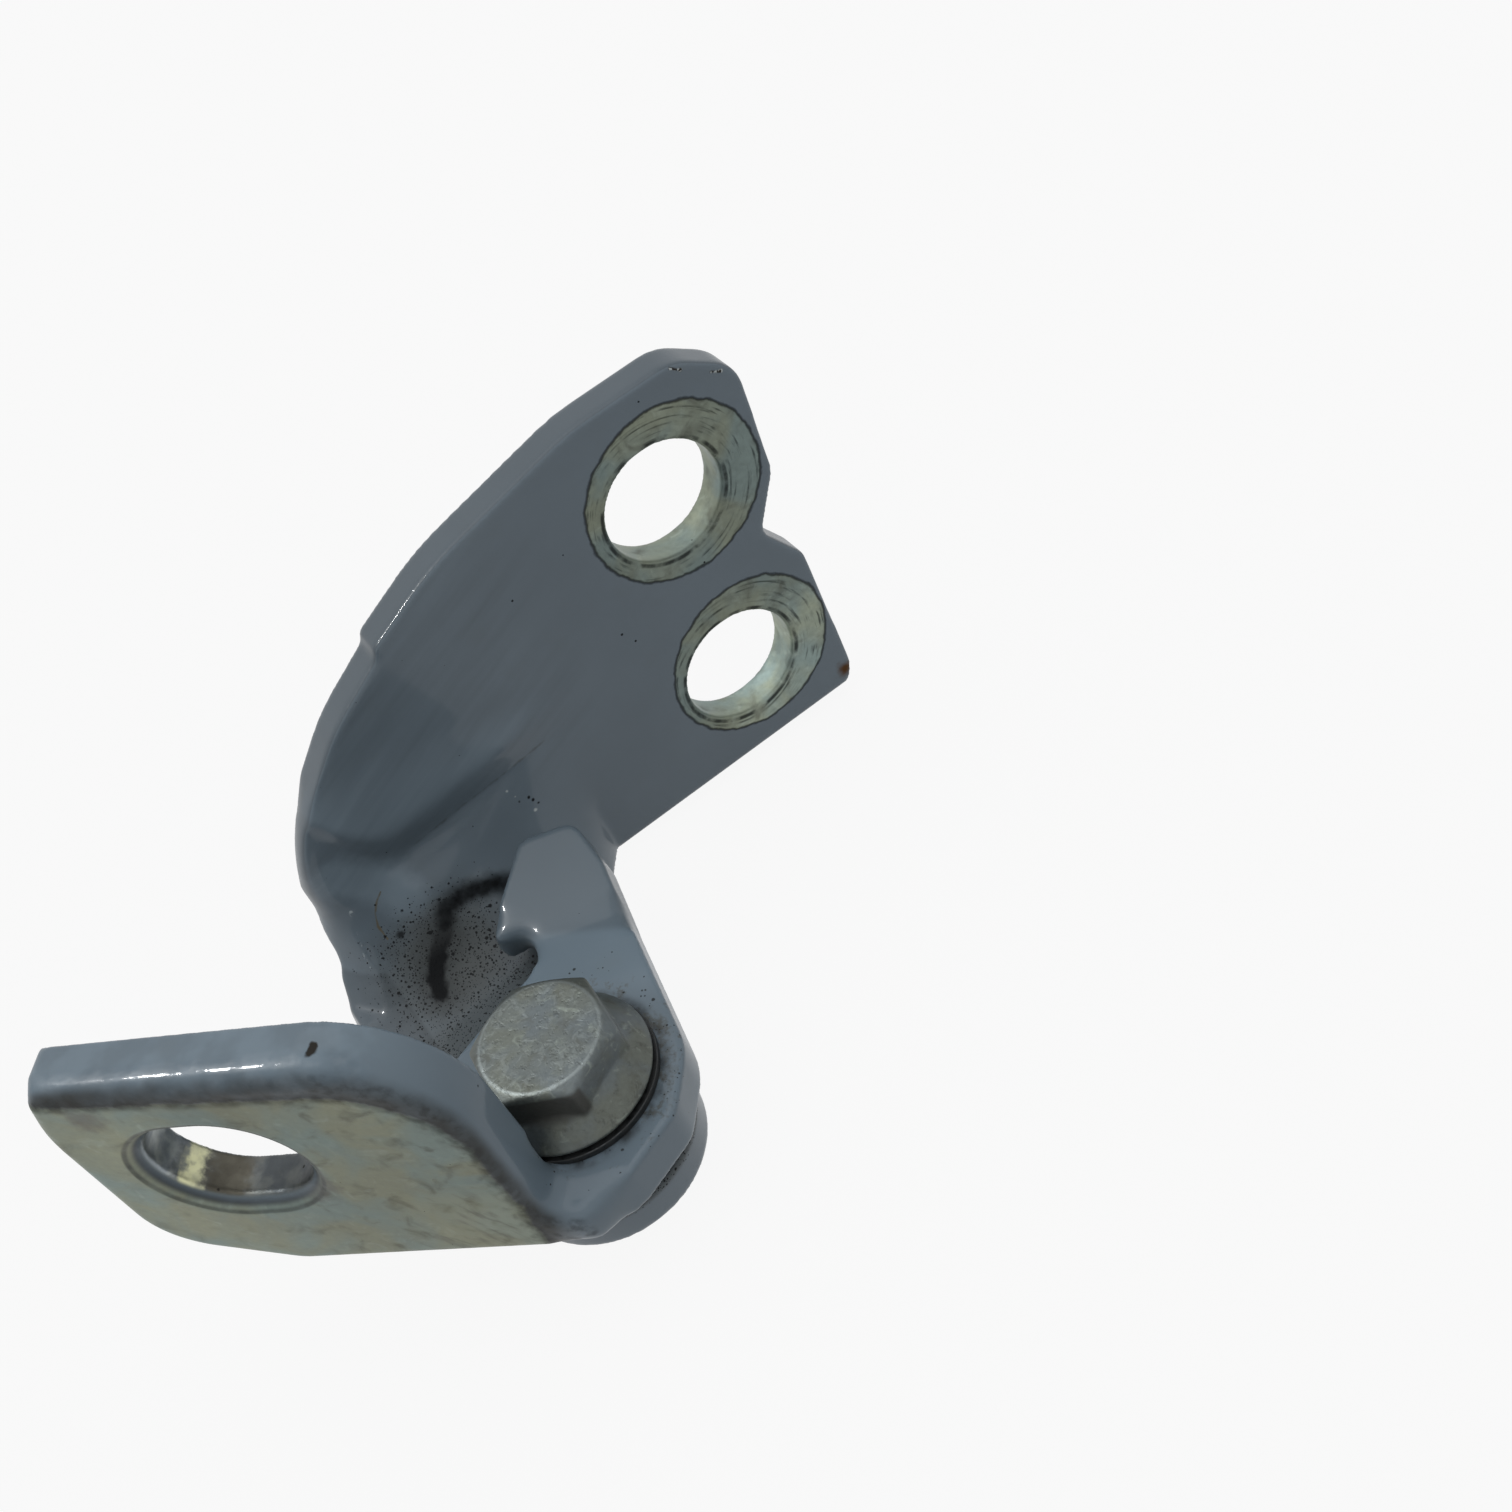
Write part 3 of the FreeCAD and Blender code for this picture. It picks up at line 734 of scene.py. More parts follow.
@dataclass(frozen=True)
class Gloss:
    """The clear top of a paint."""

    cover: float = 0.3
    rough: float = 0.08
    index: float = 1.5
    under: float = 0.14

    def set_on(self, shader: bpy.types.Node) -> None:
        """Sets the coat's plain numbers on the shader."""
        shader.inputs["Coat Weight"].default_value = self.cover
        shader.inputs["Coat Roughness"].default_value = self.rough
        shader.inputs["Coat IOR"].default_value = self.index
        shader.inputs["Specular IOR Level"].default_value = self.under


@dataclass(frozen=True)
class Slot:
    """A hole with round ends in a plate, seen along the plate's normal."""

    across: float
    up: float
    half_run: float
    reach: float

    def distance(self, board: Board, across: Socket, up: Socket) -> Socket:
        """Works out how far a point of the plate lies outside the hole's edge.

        Args:
            board: the tree to build in.
            across: the point's place along the plate in mm.
            up: its height in mm.

        Returns:
            The distance in mm.
        """
        side = board.math("SUBTRACT", board.gap(across, self.across), self.half_run)
        side = board.math("MAXIMUM", side, 0.0)
        rise = board.math("SUBTRACT", up, self.up)
        away = board.vector("LENGTH", board.joined(side, rise, 0.0))
        return board.math("SUBTRACT", away, self.reach)


@dataclass(frozen=True)
class Stroke:
    """A mark along a path; its half width, soft edge and raggedness are in mm."""

    path: tuple[Spot, ...]
    half_width: float
    soft: float
    ragged: float


@dataclass(frozen=True)
class Blot:
    """A round mark; its reach, soft edge and raggedness are in mm."""

    centre: Spot
    reach: float
    soft: float
    ragged: float


@dataclass
class Ground:
    """What a finish is laid on: its tree, the effects and the place on the piece."""

    board: Board
    effects: Effects
    point: Socket
    across: Socket = field(init=False)
    deep: Socket = field(init=False)
    up: Socket = field(init=False)
    radius: Socket = field(init=False)

    def __post_init__(self) -> None:
        """Splits the place into coordinates and the distance from the pivot."""
        self.across, self.deep, self.up = self.board.split(self.point)
        self.radius = self.board.vector("LENGTH", self.board.joined(self.across, self.deep, 0.0))

    def moved(self, across: float, deep: float, up: float) -> Socket:
        """The place moved, so that a noise shows other lumps there."""
        return self.board.vector("ADD", self.point, (across, deep, up))

    def blot(self, mark: Blot) -> Socket:
        """Draws a round mark.

        Args:
            mark: the mark.

        Returns:
            Its mask.
        """
        made = self.board.place(
            self.effects.spot,
            Point=self.point,
            Centre=mark.centre,
            Reach=mark.reach,
            Soft=mark.soft,
            Ragged=mark.ragged,
        )
        return made.outputs["Mask"]

    def stroke(self, mark: Stroke) -> Socket:
        """Draws a mark along its path, one streak for each stretch.

        Args:
            mark: the mark.

        Returns:
            The streaks joined to one mask.
        """
        mask: Feed = 0.0
        for start, stop in zip(mark.path, mark.path[1:]):
            made = self.board.place(
                self.effects.streak,
                Point=self.point,
                Start=start,
                Stop=stop,
                Half_Width=mark.half_width,
                Soft=mark.soft,
                Ragged=mark.ragged,
            )
            mask = self.board.math("MAXIMUM", mask, made.outputs["Mask"])
        return mask

    def specks(self, point: Socket, amount: Feed, spacing_mm: float) -> Socket:
        """The mask of scattered dots of dirt."""
        made = self.board.place(self.effects.speckle, Point=point, Amount=amount, Spacing=spacing_mm)
        return made.outputs["Mask"]

    def film(self, amount: Feed, grain: float) -> Socket:
        """The mask of a broken film of dust."""
        made = self.board.place(self.effects.grime, Point=self.point, Amount=amount, Grain=grain)
        return made.outputs["Mask"]


@dataclass(frozen=True)
class DoorPaint(Finish):
    """The door bracket: grey-blue paint round a bare zinc face."""

    name: str = "door_paint"
    turn: float = DOOR_TURN
    tone: Tone = Tone(0.143, 0.187, 0.223)
    # Darker tone of the finger: painted shade, partly dust.
    finger_shade_tone: Tone = Tone(0.085, 0.106, 0.122)
    zinc: Tone = Tone(0.17, 0.215, 0.195)
    zinc_warm: Tone = Tone(0.2, 0.21, 0.15)
    zinc_rubbed: Tone = Tone(0.25, 0.255, 0.17)
    stain: Tone = Tone(0.095, 0.09, 0.072)
    stroke_tone: Tone = Tone(0.085, 0.085, 0.065)
    smudge_tone: Tone = Tone(0.075, 0.062, 0.058)
    # Nearly black: dirt, and the painted shade round the flange.
    dirt: Tone = Tone(0.018, 0.016, 0.013)
    dust: Tone = Tone(0.085, 0.08, 0.062)
    # Dirt and painted shade along the bare face.
    strip_dirt_shade_tone: Tone = Tone(0.038, 0.035, 0.028)
    rim_tone: Tone = Tone(0.1, 0.11, 0.105)
    line_tone: Tone = Tone(0.04, 0.042, 0.042)
    wall_tone: Tone = Tone(0.13, 0.145, 0.155)
    wall_pale: Tone = Tone(0.2, 0.215, 0.21)
    wall_brown: Tone = Tone(0.07, 0.058, 0.035)
    # Bright yellowish stripe in the slot's wall: painted highlight.
    wall_sheen_tone: Tone = Tone(0.66, 0.66, 0.42)
    face_mm: float = -18.0
    face_top_mm: float = 29.6
    face_right_mm: float = -1.5
    face_round_mm: float = 14.0
    face_slope: float = 0.07
    plate_top_mm: float = 34.2
    edge_round_mm: float = 0.8
    slot: Slot = Slot(across=-32.0, up=16.0, half_run=1.3, reach=8.2)
    slot_rim_mm: float = 1.6
    slot_wall_mm: float = 6.2
    finger_mm: float = 21.7
    leg_top_mm: float = -1.0
    flange_reach_mm: float = 11.3
    bolt_dust: Fade = (19.0, 11.5)
    behind_bolt: Fade = (-6.0, 10.0)
    dust_height: Fade = (9.0, 3.0)
    leg_back: Fade = (9.0, 14.0)
    leg_front: Fade = (22.0, 20.5)
    leg_height: Fade = (6.0, 3.0)
    # Where patches of the plate's top are made lighter.
    lighter_top_height: Fade = (29.0, 33.0)
    fuzzy_across: Fade = (-26.0, -8.0)
    rubbed_across: Fade = (-20.0, -11.0)
    rubbed_height: Fade = (10.0, 5.5)
    stained_across: Fade = (-36.0, -12.0)
    lighter_across: Fade = (-24.0, -44.0)
    brown_angle: float = -2.15
    polish_angle: float = -2.6
    chip: Stroke = Stroke(
        ((-12.3, -15.5, 34.0), (-12.0, -14.5, 34.0)), half_width=0.28, soft=0.35, ragged=0.9
    )
    smudges: tuple[tuple[Blot, float], ...] = (
        (Blot((-41.6, -18.0, 28.6), reach=0.8, soft=2.4, ragged=3.5), 0.55),
        (Blot((-24.0, -18.0, 11.5), reach=2.2, soft=2.4, ragged=3.5), 0.5),
    )
    gloss: Gloss = Gloss()

    def bare_edge(self, ground: Ground) -> Socket:
        """Works out how far a point lies outside the bare face's outline.

        Args:
            ground: what the finish is laid on.

        Returns:
            The distance in mm, less than 0 on the bare face.
        """
        board = ground.board
        corner_across = self.face_right_mm - self.face_round_mm
        corner_up = self.face_top_mm - self.face_round_mm
        side = board.math("SUBTRACT", ground.across, corner_across)
        slope = board.math("MULTIPLY", board.math("MINIMUM", side, 0.0), self.face_slope)
        rise = board.math("SUBTRACT", board.math("ADD", ground.up, slope), corner_up)
        out = board.joined(board.math("MAXIMUM", side, 0.0), board.math("MAXIMUM", rise, 0.0), 0.0)
        wander = board.math("MULTIPLY", board.lumps(ground.point, 3.0, 5.0), 1.8)
        away = board.math("SUBTRACT", board.vector("LENGTH", out), self.face_round_mm)
        return board.math("ADD", away, wander)

    def over_leg(self, ground: Ground) -> Socket:
        """The mask of what lies at the leg's top and over it."""
        return ground.board.ease(ground.up, self.leg_top_mm, self.leg_top_mm + 0.8)

    def near_bolt(self, ground: Ground) -> Socket:
        """Finds where dust gathers round the bolt, more of it behind than before.

        Args:
            ground: what the finish is laid on.

        Returns:
            The mask.
        """
        board = ground.board
        behind = board.ease(board.math("ADD", ground.deep, ground.across), *self.behind_bolt)
        return board.both(
            board.ease(ground.radius, *self.bolt_dust),
            self.over_leg(ground),
            board.ease(ground.up, *self.dust_height),
            board.math("MULTIPLY_ADD", behind, 0.3, 0.38),
        )

    def front_edge(self, ground: Ground) -> Socket:
        """Finds the rounded edge between the plate's top and its face.

        Args:
            ground: what the finish is laid on.

        Returns:
            The mask.
        """
        board = ground.board
        along_edge = board.joined(0.0, ground.deep, ground.up)
        centre = (0.0, self.face_mm + self.edge_round_mm, self.plate_top_mm - self.edge_round_mm)
        return board.ease(board.vector("DISTANCE", along_edge, centre), 3.0, 1.6)

    def painted(self, ground: Ground, colour: Socket, film: Socket, strip_dirt_shade: Socket) -> Socket:
        """Colours the paint: dust, painted shade on the finger, painted light on the leg, a lighter top,
        dirt and painted shade along the bare face.

        Args:
            ground: what the finish is laid on.
            colour: the clean paint.
            film: the mask of the dust.
            strip_dirt_shade: the mask of the dirt and painted shade along the bare face.

        Returns:
            The colour.
        """
        board = ground.board
        # The finger is tinted darker: painted shade, partly dust.
        finger = board.ease(ground.deep, self.finger_mm - 0.7, self.finger_mm + 0.7)
        # The leg's top between the finger and the bolt is lightened: painted light.
        lit_leg_top = board.both(
            board.ease(ground.deep, *self.leg_back),
            board.ease(ground.deep, *self.leg_front),
            board.ease(ground.up, *self.leg_height),
        )
        # Patches of the plate's top are made lighter.
        lighter_top = board.both(
            board.ease(ground.up, *self.lighter_top_height),
            board.ease(board.noise(ground.point, 6.0, 3.0), 0.42, 0.62),
        )
        colour = board.tint(film, colour, self.dust)
        colour = board.tint(board.both(finger, 0.34), colour, self.finger_shade_tone)
        colour = board.shade(colour, board.math("MULTIPLY_ADD", lit_leg_top, 0.16, 1.0))
        colour = board.shade(colour, board.math("MULTIPLY_ADD", lighter_top, 0.2, 1.0))
        # The band along the bare face is darkened: dirt and painted shade.
        return board.tint(strip_dirt_shade, colour, self.strip_dirt_shade_tone)

    def dirt_marks(self, ground: Ground, at_face: Socket, away: Socket, near_bolt: Socket) -> Socket:
        """Finds the dots, the bare face's dark border, and the sooty ring at the flange with painted
        contact shade.

        Args:
            ground: what the finish is laid on.
            at_face: the mask of the plate's face.
            away: how far a point lies outside the bare face.
            near_bolt: the mask of the dusty metal round the bolt.

        Returns:
            The mask of all that is nearly black.
        """
        board, point = ground.board, ground.point
        dots = ground.specks(point, board.math("MULTIPLY_ADD", near_bolt, 0.3, 0.002), 0.8)
        broken = board.ease(board.noise(ground.moved(9.0, 0.0, 4.0), 1.6, 4.0), 0.38, 0.6)
        border = board.both(
            at_face,
            board.ease(board.math("ABSOLUTE", away), 1.5, 0.0),
            board.math("MULTIPLY_ADD", broken, 0.3, 0.32),
        )
        fuzz = board.both(
            at_face,
            board.ease(away, -3.2, 0.2),
            board.ease(ground.across, *self.fuzzy_across),
            board.ease(board.noise(point, 1.3, 5.0), 0.4, 0.72),
            0.5,
        )
        # Dark ring round the flange: grime and painted contact shade.
        flange_soot_shade = board.both(
            board.ease(ground.radius, self.flange_reach_mm + 1.7, self.flange_reach_mm),
            self.over_leg(ground),
            board.ease(ground.up, 2.5, 1.2),
            board.ease(board.noise(point, 2.2, 5.0), 0.3, 0.72),
            0.8,
        )
        return board.either(board.both(dots, 0.85), border, fuzz, flange_soot_shade)

    def zinc_face(self, ground: Ground, colour: Socket) -> Socket:
        """Colours the bare face: its rubbed patch, short strokes and smudges.

        Args:
            ground: what the finish is laid on.
            colour: the dull zinc.

        Returns:
            The colour.
        """
        board = ground.board
        patch = board.both(
            board.ease(ground.across, *self.rubbed_across), board.ease(ground.up, *self.rubbed_height)
        )
        slant = board.math("MULTIPLY_ADD", ground.up, 0.6, ground.across)
        drawn = board.joined(board.both(slant, 0.4), 0.0, board.both(ground.up, 0.16))
        strokes = board.both(board.ease(board.noise(drawn, 0.8, 3.0, 0.4), 0.5, 0.7), patch)
        colour = board.tint(board.both(patch, 0.4), colour, self.zinc_rubbed)
        colour = board.tint(board.both(strokes, 0.6), colour, self.stroke_tone)
        for smudge, share in self.smudges:
            colour = board.tint(board.both(ground.blot(smudge), share), colour, self.smudge_tone)
        lighter = board.ease(ground.across, *self.lighter_across)
        return board.shade(colour, board.math("MULTIPLY_ADD", lighter, 0.22, 0.95))

    def slot_rim(self, board: Board, hole: Socket, rim: Socket, worn: Socket, colour: Socket) -> Socket:
        """Colours the slot's pressed rim and the dark lines along it.

        Args:
            board: the material's tree.
            hole: the distance from the slot's wall in mm.
            rim: the mask of the rim.
            worn: the noise that breaks up the lines.
            colour: the bare face.

        Returns:
            The colour.
        """
        outline = board.ease(board.gap(hole, self.slot_rim_mm + 0.1), 0.45, 0.1)
        lip = board.ease(board.gap(hole, 0.25), 0.35, 0.1)
        lines = board.both(board.either(outline, lip), board.math("MULTIPLY_ADD", worn, 0.9, 0.1))
        colour = board.tint(board.both(rim, 0.25), colour, self.rim_tone)
        return board.tint(lines, colour, self.line_tone)

    def slot_wall(self, ground: Ground, worn: Socket) -> Socket:
        """Colours the slot's wall: painted light left, painted shade right, brown and a painted highlight
        below that.

        Args:
            ground: what the finish is laid on.
            worn: the noise that mixes its tones.

        Returns:
            The colour.
        """
        board = ground.board
        angle = board.math(
            "ARCTAN2",
            board.math("SUBTRACT", ground.up, self.slot.up),
            board.math("SUBTRACT", ground.across, self.slot.across),
        )
        sway = board.math("MULTIPLY_ADD", board.lumps(ground.point, 1.2, 3.0), 0.35, angle)
        colour = board.tint(board.ease(worn, 0.4, 0.65), self.wall_tone, self.wall_pale)
        # Painted reflection lightens the wall's left and painted shade darkens its right.
        left = board.either(board.ease(sway, 2.3, 2.8), board.ease(sway, -2.75, -3.0))
        right = board.both(board.ease(sway, -1.9, -1.6), board.ease(sway, 1.6, 1.0))
        darker = board.math("MULTIPLY_ADD", right, -0.45, 1.0)
        colour = board.shade(colour, board.math("MULTIPLY_ADD", left, 1.2, darker))
        brown = board.ease(board.gap(sway, self.brown_angle), 0.5, 0.15)
        colour = board.tint(board.both(brown, 0.75), colour, self.wall_brown)
        # A bright yellowish stripe of painted highlight.
        sheen_band = board.both(
            board.ease(board.gap(sway, self.polish_angle), 0.2, 0.06),
            board.math("MULTIPLY_ADD", board.ease(worn, 0.62, 0.4), 0.4, 0.6),
        )
        return board.tint(sheen_band, colour, self.wall_sheen_tone)

    def slot_looks(self, ground: Ground, bare: Socket) -> tuple[Socket, Socket, Socket]:
        """Dresses the slot.

        Args:
            ground: what the finish is laid on.
            bare: the colour of the bare face.

        Returns:
            The colour with the slot's rim and wall in it, the wall's mask, and
            the height of the rim's step.
        """
        board = ground.board
        hole = self.slot.distance(board, ground.across, ground.up)
        outer = board.ease(hole, self.slot_rim_mm + 0.5, self.slot_rim_mm)
        rim = board.both(outer, board.ease(hole, 0.0, 0.3))
        worn = board.noise(ground.point, 2.2, 4.0)
        wall_end = self.face_mm + self.slot_wall_mm
        wall = board.both(board.ease(hole, 0.5, 0.1), board.ease(ground.deep, wall_end + 0.7, wall_end))
        colour = self.slot_rim(board, hole, rim, worn, bare)
        colour = board.tint(wall, colour, self.slot_wall(ground, worn))
        return colour, wall, board.both(rim, -0.06)

    def wire(self, board: Board, effects: Effects, shader: bpy.types.Node) -> None:
        """Wires paint, zinc face, slot rim, dust about the bolt and the dark chip.

        Args:
            board: the material's tree.
            effects: the shared node groups.
            shader: its Principled node.
        """
        ground = Ground(board, effects, self.place_mm(board, self.turn))
        at_face = board.ease(ground.deep, self.face_mm + 0.9, self.face_mm + 0.35)
        away = self.bare_edge(ground)
        bare = board.both(at_face, board.ease(away, 0.3, -0.3))
        on_edge = self.front_edge(ground)
        ripple = board.math("MULTIPLY_ADD", on_edge, 0.09, 0.004)
        paint = board.place(effects.paint, Point=ground.point, Tone=self.tone, Ripple=ripple)

        near_bolt = self.near_bolt(ground)
        film = ground.film(board.either(near_bolt, 0.06), 1.0)
        # Dark band along the bare face: dirt and painted shade.
        strip_dirt_shade = board.both(
            board.ease(ground.deep, self.face_mm + 1.6, self.face_mm + 0.5),
            board.ease(away, 5.2, 0.6),
            board.math("MULTIPLY_ADD", board.noise(ground.point, 3.4, 5.0), 0.8, 0.35),
        )
        colour = self.painted(ground, paint.outputs["Colour"], film, strip_dirt_shade)
        chip = ground.stroke(self.chip)
        dark = board.either(self.dirt_marks(ground, at_face, away, near_bolt), chip)

        stained = board.ease(ground.across, *self.stained_across)
        zinc = board.place(
            effects.zinc,
            Point=ground.point,
            Tone=self.zinc,
            Second_Tone=self.zinc_warm,
            Stain_Tone=self.stain,
            Stain=board.math("MULTIPLY_ADD", stained, 0.35, 0.4),
        )
        bare_colour = self.zinc_face(ground, zinc.outputs["Colour"])
        bare_colour, wall, rim_step = self.slot_looks(ground, bare_colour)
        bare_wall = board.either(bare, wall)

        colour = board.tint(bare_wall, colour, bare_colour)
        board.feed(shader.inputs["Base Color"], board.tint(dark, colour, self.dirt))
        metal = board.math("MULTIPLY_ADD", wall, 0.2, 0.68)
        board.feed(shader.inputs["Metallic"], board.both(bare_wall, board.without(dark), metal))
        rough = board.between(bare_wall, paint.outputs["Rough"], zinc.outputs["Rough"])
        board.feed(shader.inputs["Roughness"], board.between(dark, rough, 0.7))
        self.gloss.set_on(shader)
        clean = board.without(board.either(bare_wall, dark, film, strip_dirt_shade))
        beads = board.ease(board.noise(ground.moved(0.0, 20.0, 0.0), 1.5, 2.0), 0.44, 0.6)
        shine = board.both(clean, board.between(on_edge, 1.0, beads), self.gloss.cover)
        board.feed(shader.inputs["Coat Weight"], shine)
        height = board.between(bare_wall, paint.outputs["Height"], zinc.outputs["Height"])
        step = board.both(board.either(bare, chip), -0.05)
        self.relief(board, shader, board.math("ADD", board.math("ADD", height, step), rim_step))


@dataclass(frozen=True)
class BareRing:
    """A ring on the body plate that a washer kept free of paint."""

    across: float
    up: float
    reach: float
    hole_up: float


@dataclass(frozen=True)
class BodyPaint(Finish):
    """The body bracket: grey-blue paint, two bare rings, dust, a dark arc, painted light and shade."""

    name: str = "body_paint"
    tone: Tone = Tone(0.156, 0.196, 0.229)
    zinc: Tone = Tone(0.15, 0.19, 0.18)
    zinc_warm: Tone = Tone(0.18, 0.2, 0.155)
    stain: Tone = Tone(0.075, 0.075, 0.06)
    black: Tone = Tone(0.004, 0.005, 0.006)
    dust: Tone = Tone(0.062, 0.06, 0.047)
    scratch_tone: Tone = Tone(0.15, 0.115, 0.055)
    chip_tone: Tone = Tone(0.5, 0.54, 0.54)
    # White of the painted glints along cracked paint.
    crack_glint_tone: Tone = Tone(0.5, 0.56, 0.58)
    crease_tone: Tone = Tone(0.055, 0.056, 0.05)
    rust_tone: Tone = Tone(0.1, 0.045, 0.015)
    top_chip_tone: Tone = Tone(0.03, 0.026, 0.022)
    glint_tone: Tone = Tone(0.55, 0.6, 0.6)
    face_mm: float = 41.0
    hole_across: float = 51.7
    hole_reach: float = 8.4
    boss_top_mm: float = -8.6
    rings: tuple[BareRing, ...] = (
        BareRing(across=53.3, up=30.5, reach=12.6, hole_up=30.0),
        BareRing(across=53.7, up=-0.1, reach=12.2, hole_up=-0.8),
    )
    # Where soft streaks of painted light lie over the crease.
    lit_streak_slope: float = 0.42
    lit_streak_across: Fade = (38.0, 20.0)
    lit_streak_height: Fade = (0.0, 10.0)
    hollow_depth: Fade = (44.0, 43.0)
    cut_edge_height: Fade = (2.0, 8.0)
    bend_height: Fade = (3.0, -2.0)
    boss_reach: Fade = (34.0, 26.0)
    foot_height: Fade = (-3.6, -5.6)
    # Where the bend's lower left, facing down, gets painted shade.
    shaded_break_across: Fade = (-10.8, -11.6)
    shaded_break_height: Fade = (-3.3, -4.1)
    low_ring_height: Fade = (14.0, 10.0)
    low_ring_slant: Fade = (54.0, 64.0)
    left_bend: Blot = Blot((-12.0, 39.5, 0.5), reach=4.0, soft=5.0, ragged=2.0)
    # A path of painted light along the bend's left.
    lit_bend_path: Stroke = Stroke(
        ((-9.0, 41.0, 10.5), (-6.4, 41.1, 7.3), (-4.0, 40.8, 4.2), (-3.4, 39.8, 1.4)),
        half_width=1.2,
        soft=3.2,
        ragged=1.5,
    )
    dusty: Blot = Blot((-3.5, 32.5, -5.5), reach=3.0, soft=12.0, ragged=4.0)
    # A black arc that follows the finger's outline, darker towards the bottom.
    dark_arc_arm: Stroke = Stroke(
        (
            (9.5, 36.2, -4.0),
            (5.1, 37.4, -2.4),
            (2.4, 37.9, -1.8),
            (0.0, 37.7, -2.1),
            (-1.5, 36.6, -3.4),
        ),
        half_width=0.35,
        soft=2.1,
        ragged=1.2,
    )
    dark_arc_foot: Stroke = Stroke(
        (
            (-2.2, 36.2, -3.9),
            (-3.6, 35.4, -4.7),
            (-5.0, 34.3, -5.5),
            (-6.2, 33.1, -6.4),
            (-7.2, 31.0, -7.5),
        ),
        half_width=0.75,
        soft=1.3,
        ragged=1.2,
    )
    dark_arc_halo: Stroke = Stroke(dark_arc_foot.path, half_width=0.6, soft=4.2, ragged=1.5)
    lump: Blot = Blot((-6.8, 38.1, -1.5), reach=0.25, soft=0.55, ragged=1.4)
    scratch: Stroke = Stroke(
        (
            (-5.6, 40.7, 4.4),
            (-6.8, 40.5, 3.6),
            (-7.8, 40.1, 2.5),
            (-8.5, 39.4, 0.9),
            (-8.5, 38.4, -1.0),
        ),
        half_width=0.02,
        soft=0.2,
        ragged=0.4,
    )
    # Path of the painted glints along cracked paint.
    crack_glint: Stroke = Stroke(
        ((-10.2, 40.6, 4.6), (-11.3, 39.8, 1.4), (-12.3, 38.8, -1.4), (-12.6, 37.9, -3.2)),
        half_width=0.04,
        soft=0.2,
        ragged=0.8,
    )
    crease: Stroke = Stroke(
        (
            (1.5, 42.1, 6.3),
            (5.3, 41.95, 6.7),
            (9.6, 41.65, 7.3),
            (14.0, 41.4, 7.8),
            (18.3, 41.2, 8.3),
            (23.0, 41.0, 8.9),
        ),
        half_width=0.04,
        soft=0.3,
        ragged=0.5,
    )
    light_chips: tuple[Spot, ...] = ((15.3, 41.0, 5.6), (15.8, 40.6, 4.3), (17.0, 39.8, 1.0))
    dark_chips: tuple[Spot, ...] = (
        (15.9, 40.3, 3.4),
        (17.2, 40.5, 3.0),
        (17.5, 40.2, 2.3),
        (17.9, 40.1, 1.5),
        (19.2, 39.9, 2.8),
    )
    top_chips: tuple[Stroke, ...] = (
        Stroke(((59.3, 41.1, 46.2), (60.4, 41.0, 45.3)), half_width=0.06, soft=0.22, ragged=0.7),
        Stroke(((63.9, 41.1, 42.6), (65.2, 41.1, 41.8)), half_width=0.06, soft=0.22, ragged=0.7),
    )
    rust: Blot = Blot((65.6, 41.2, -13.4), reach=0.4, soft=1.6, ragged=1.6)
    gloss: Gloss = Gloss()

    @staticmethod
    def chips(ground: Ground, centres: tuple[Spot, ...]) -> Socket:
        """The mask of small round chips."""
        marks = (Blot(centre, reach=0.08, soft=0.22, ragged=0.8) for centre in centres)
        return ground.board.either(*(ground.blot(mark) for mark in marks))

    def round_hole(self, ground: Ground, ring: BareRing, uneven: Socket) -> tuple[Socket, Socket]:
        """Finds the bare metal in a ring's hole and the worn metal about it.

        Args:
            ground: what the finish is laid on.
            ring: the ring.
            uneven: the noise that breaks up the wear.

        Returns:
            The mask of the hole, and the mask of its turned lines and lip.
        """
        board = ground.board
        from_hole = board.joined(
            board.math("SUBTRACT", ground.across, self.hole_across),
            0.0,
            board.math("SUBTRACT", ground.up, ring.hole_up),
        )
        hole = board.vector("LENGTH", from_hole)
        bare = board.ease(hole, self.hole_reach + 0.6, self.hole_reach + 0.3)
        turned = board.noise(board.joined(hole, 0.0, board.both(ground.up, 0.12)), 0.55, 3.0)
        band = board.both(
            board.ease(hole, self.hole_reach - 0.2, self.hole_reach + 0.5),
            board.ease(turned, 0.5, 0.68),
            uneven,
            0.6,
        )
        lip = board.ease(board.gap(hole, self.hole_reach + 0.55), 0.4, 0.1)
        return bare, board.either(band, board.both(lip, uneven, 0.8))

    def bare_places(self, ground: Ground) -> tuple[Socket, Socket]:
        """Finds the bare rings and their dark lines.

        Args:
            ground: what the finish is laid on.

        Returns:
            The mask of the rings with their holes, and the mask of the lines.
        """
        board = ground.board
        at_face = board.ease(ground.deep, self.face_mm + 0.75, self.face_mm + 0.4)
        wander = board.lumps(ground.point, 2.2, 4.0)
        uneven = board.ease(board.noise(ground.moved(0.0, 0.0, 60.0), 2.6, 5.0), 0.36, 0.62)
        bares, lines = [], []
        for ring in self.rings:
            out = board.joined(
                board.math("SUBTRACT", ground.across, ring.across),
                0.0,
                board.math("SUBTRACT", ground.up, ring.up),
            )
            away = board.math("ADD", board.vector("LENGTH", out), wander)
            bare = board.both(at_face, board.ease(away, ring.reach + 0.12, ring.reach - 0.12))
            outline = board.both(at_face, board.ease(board.gap(away, ring.reach), 0.36, 0.05), 0.75)
            on_ring = board.both(at_face, board.ease(away, ring.reach, ring.reach - 0.4))
            hole, wear = self.round_hole(ground, ring, uneven)
            bares += [bare, hole]
            lines += [outline, board.both(on_ring, wear)]
        return board.either(*bares), board.either(*lines)

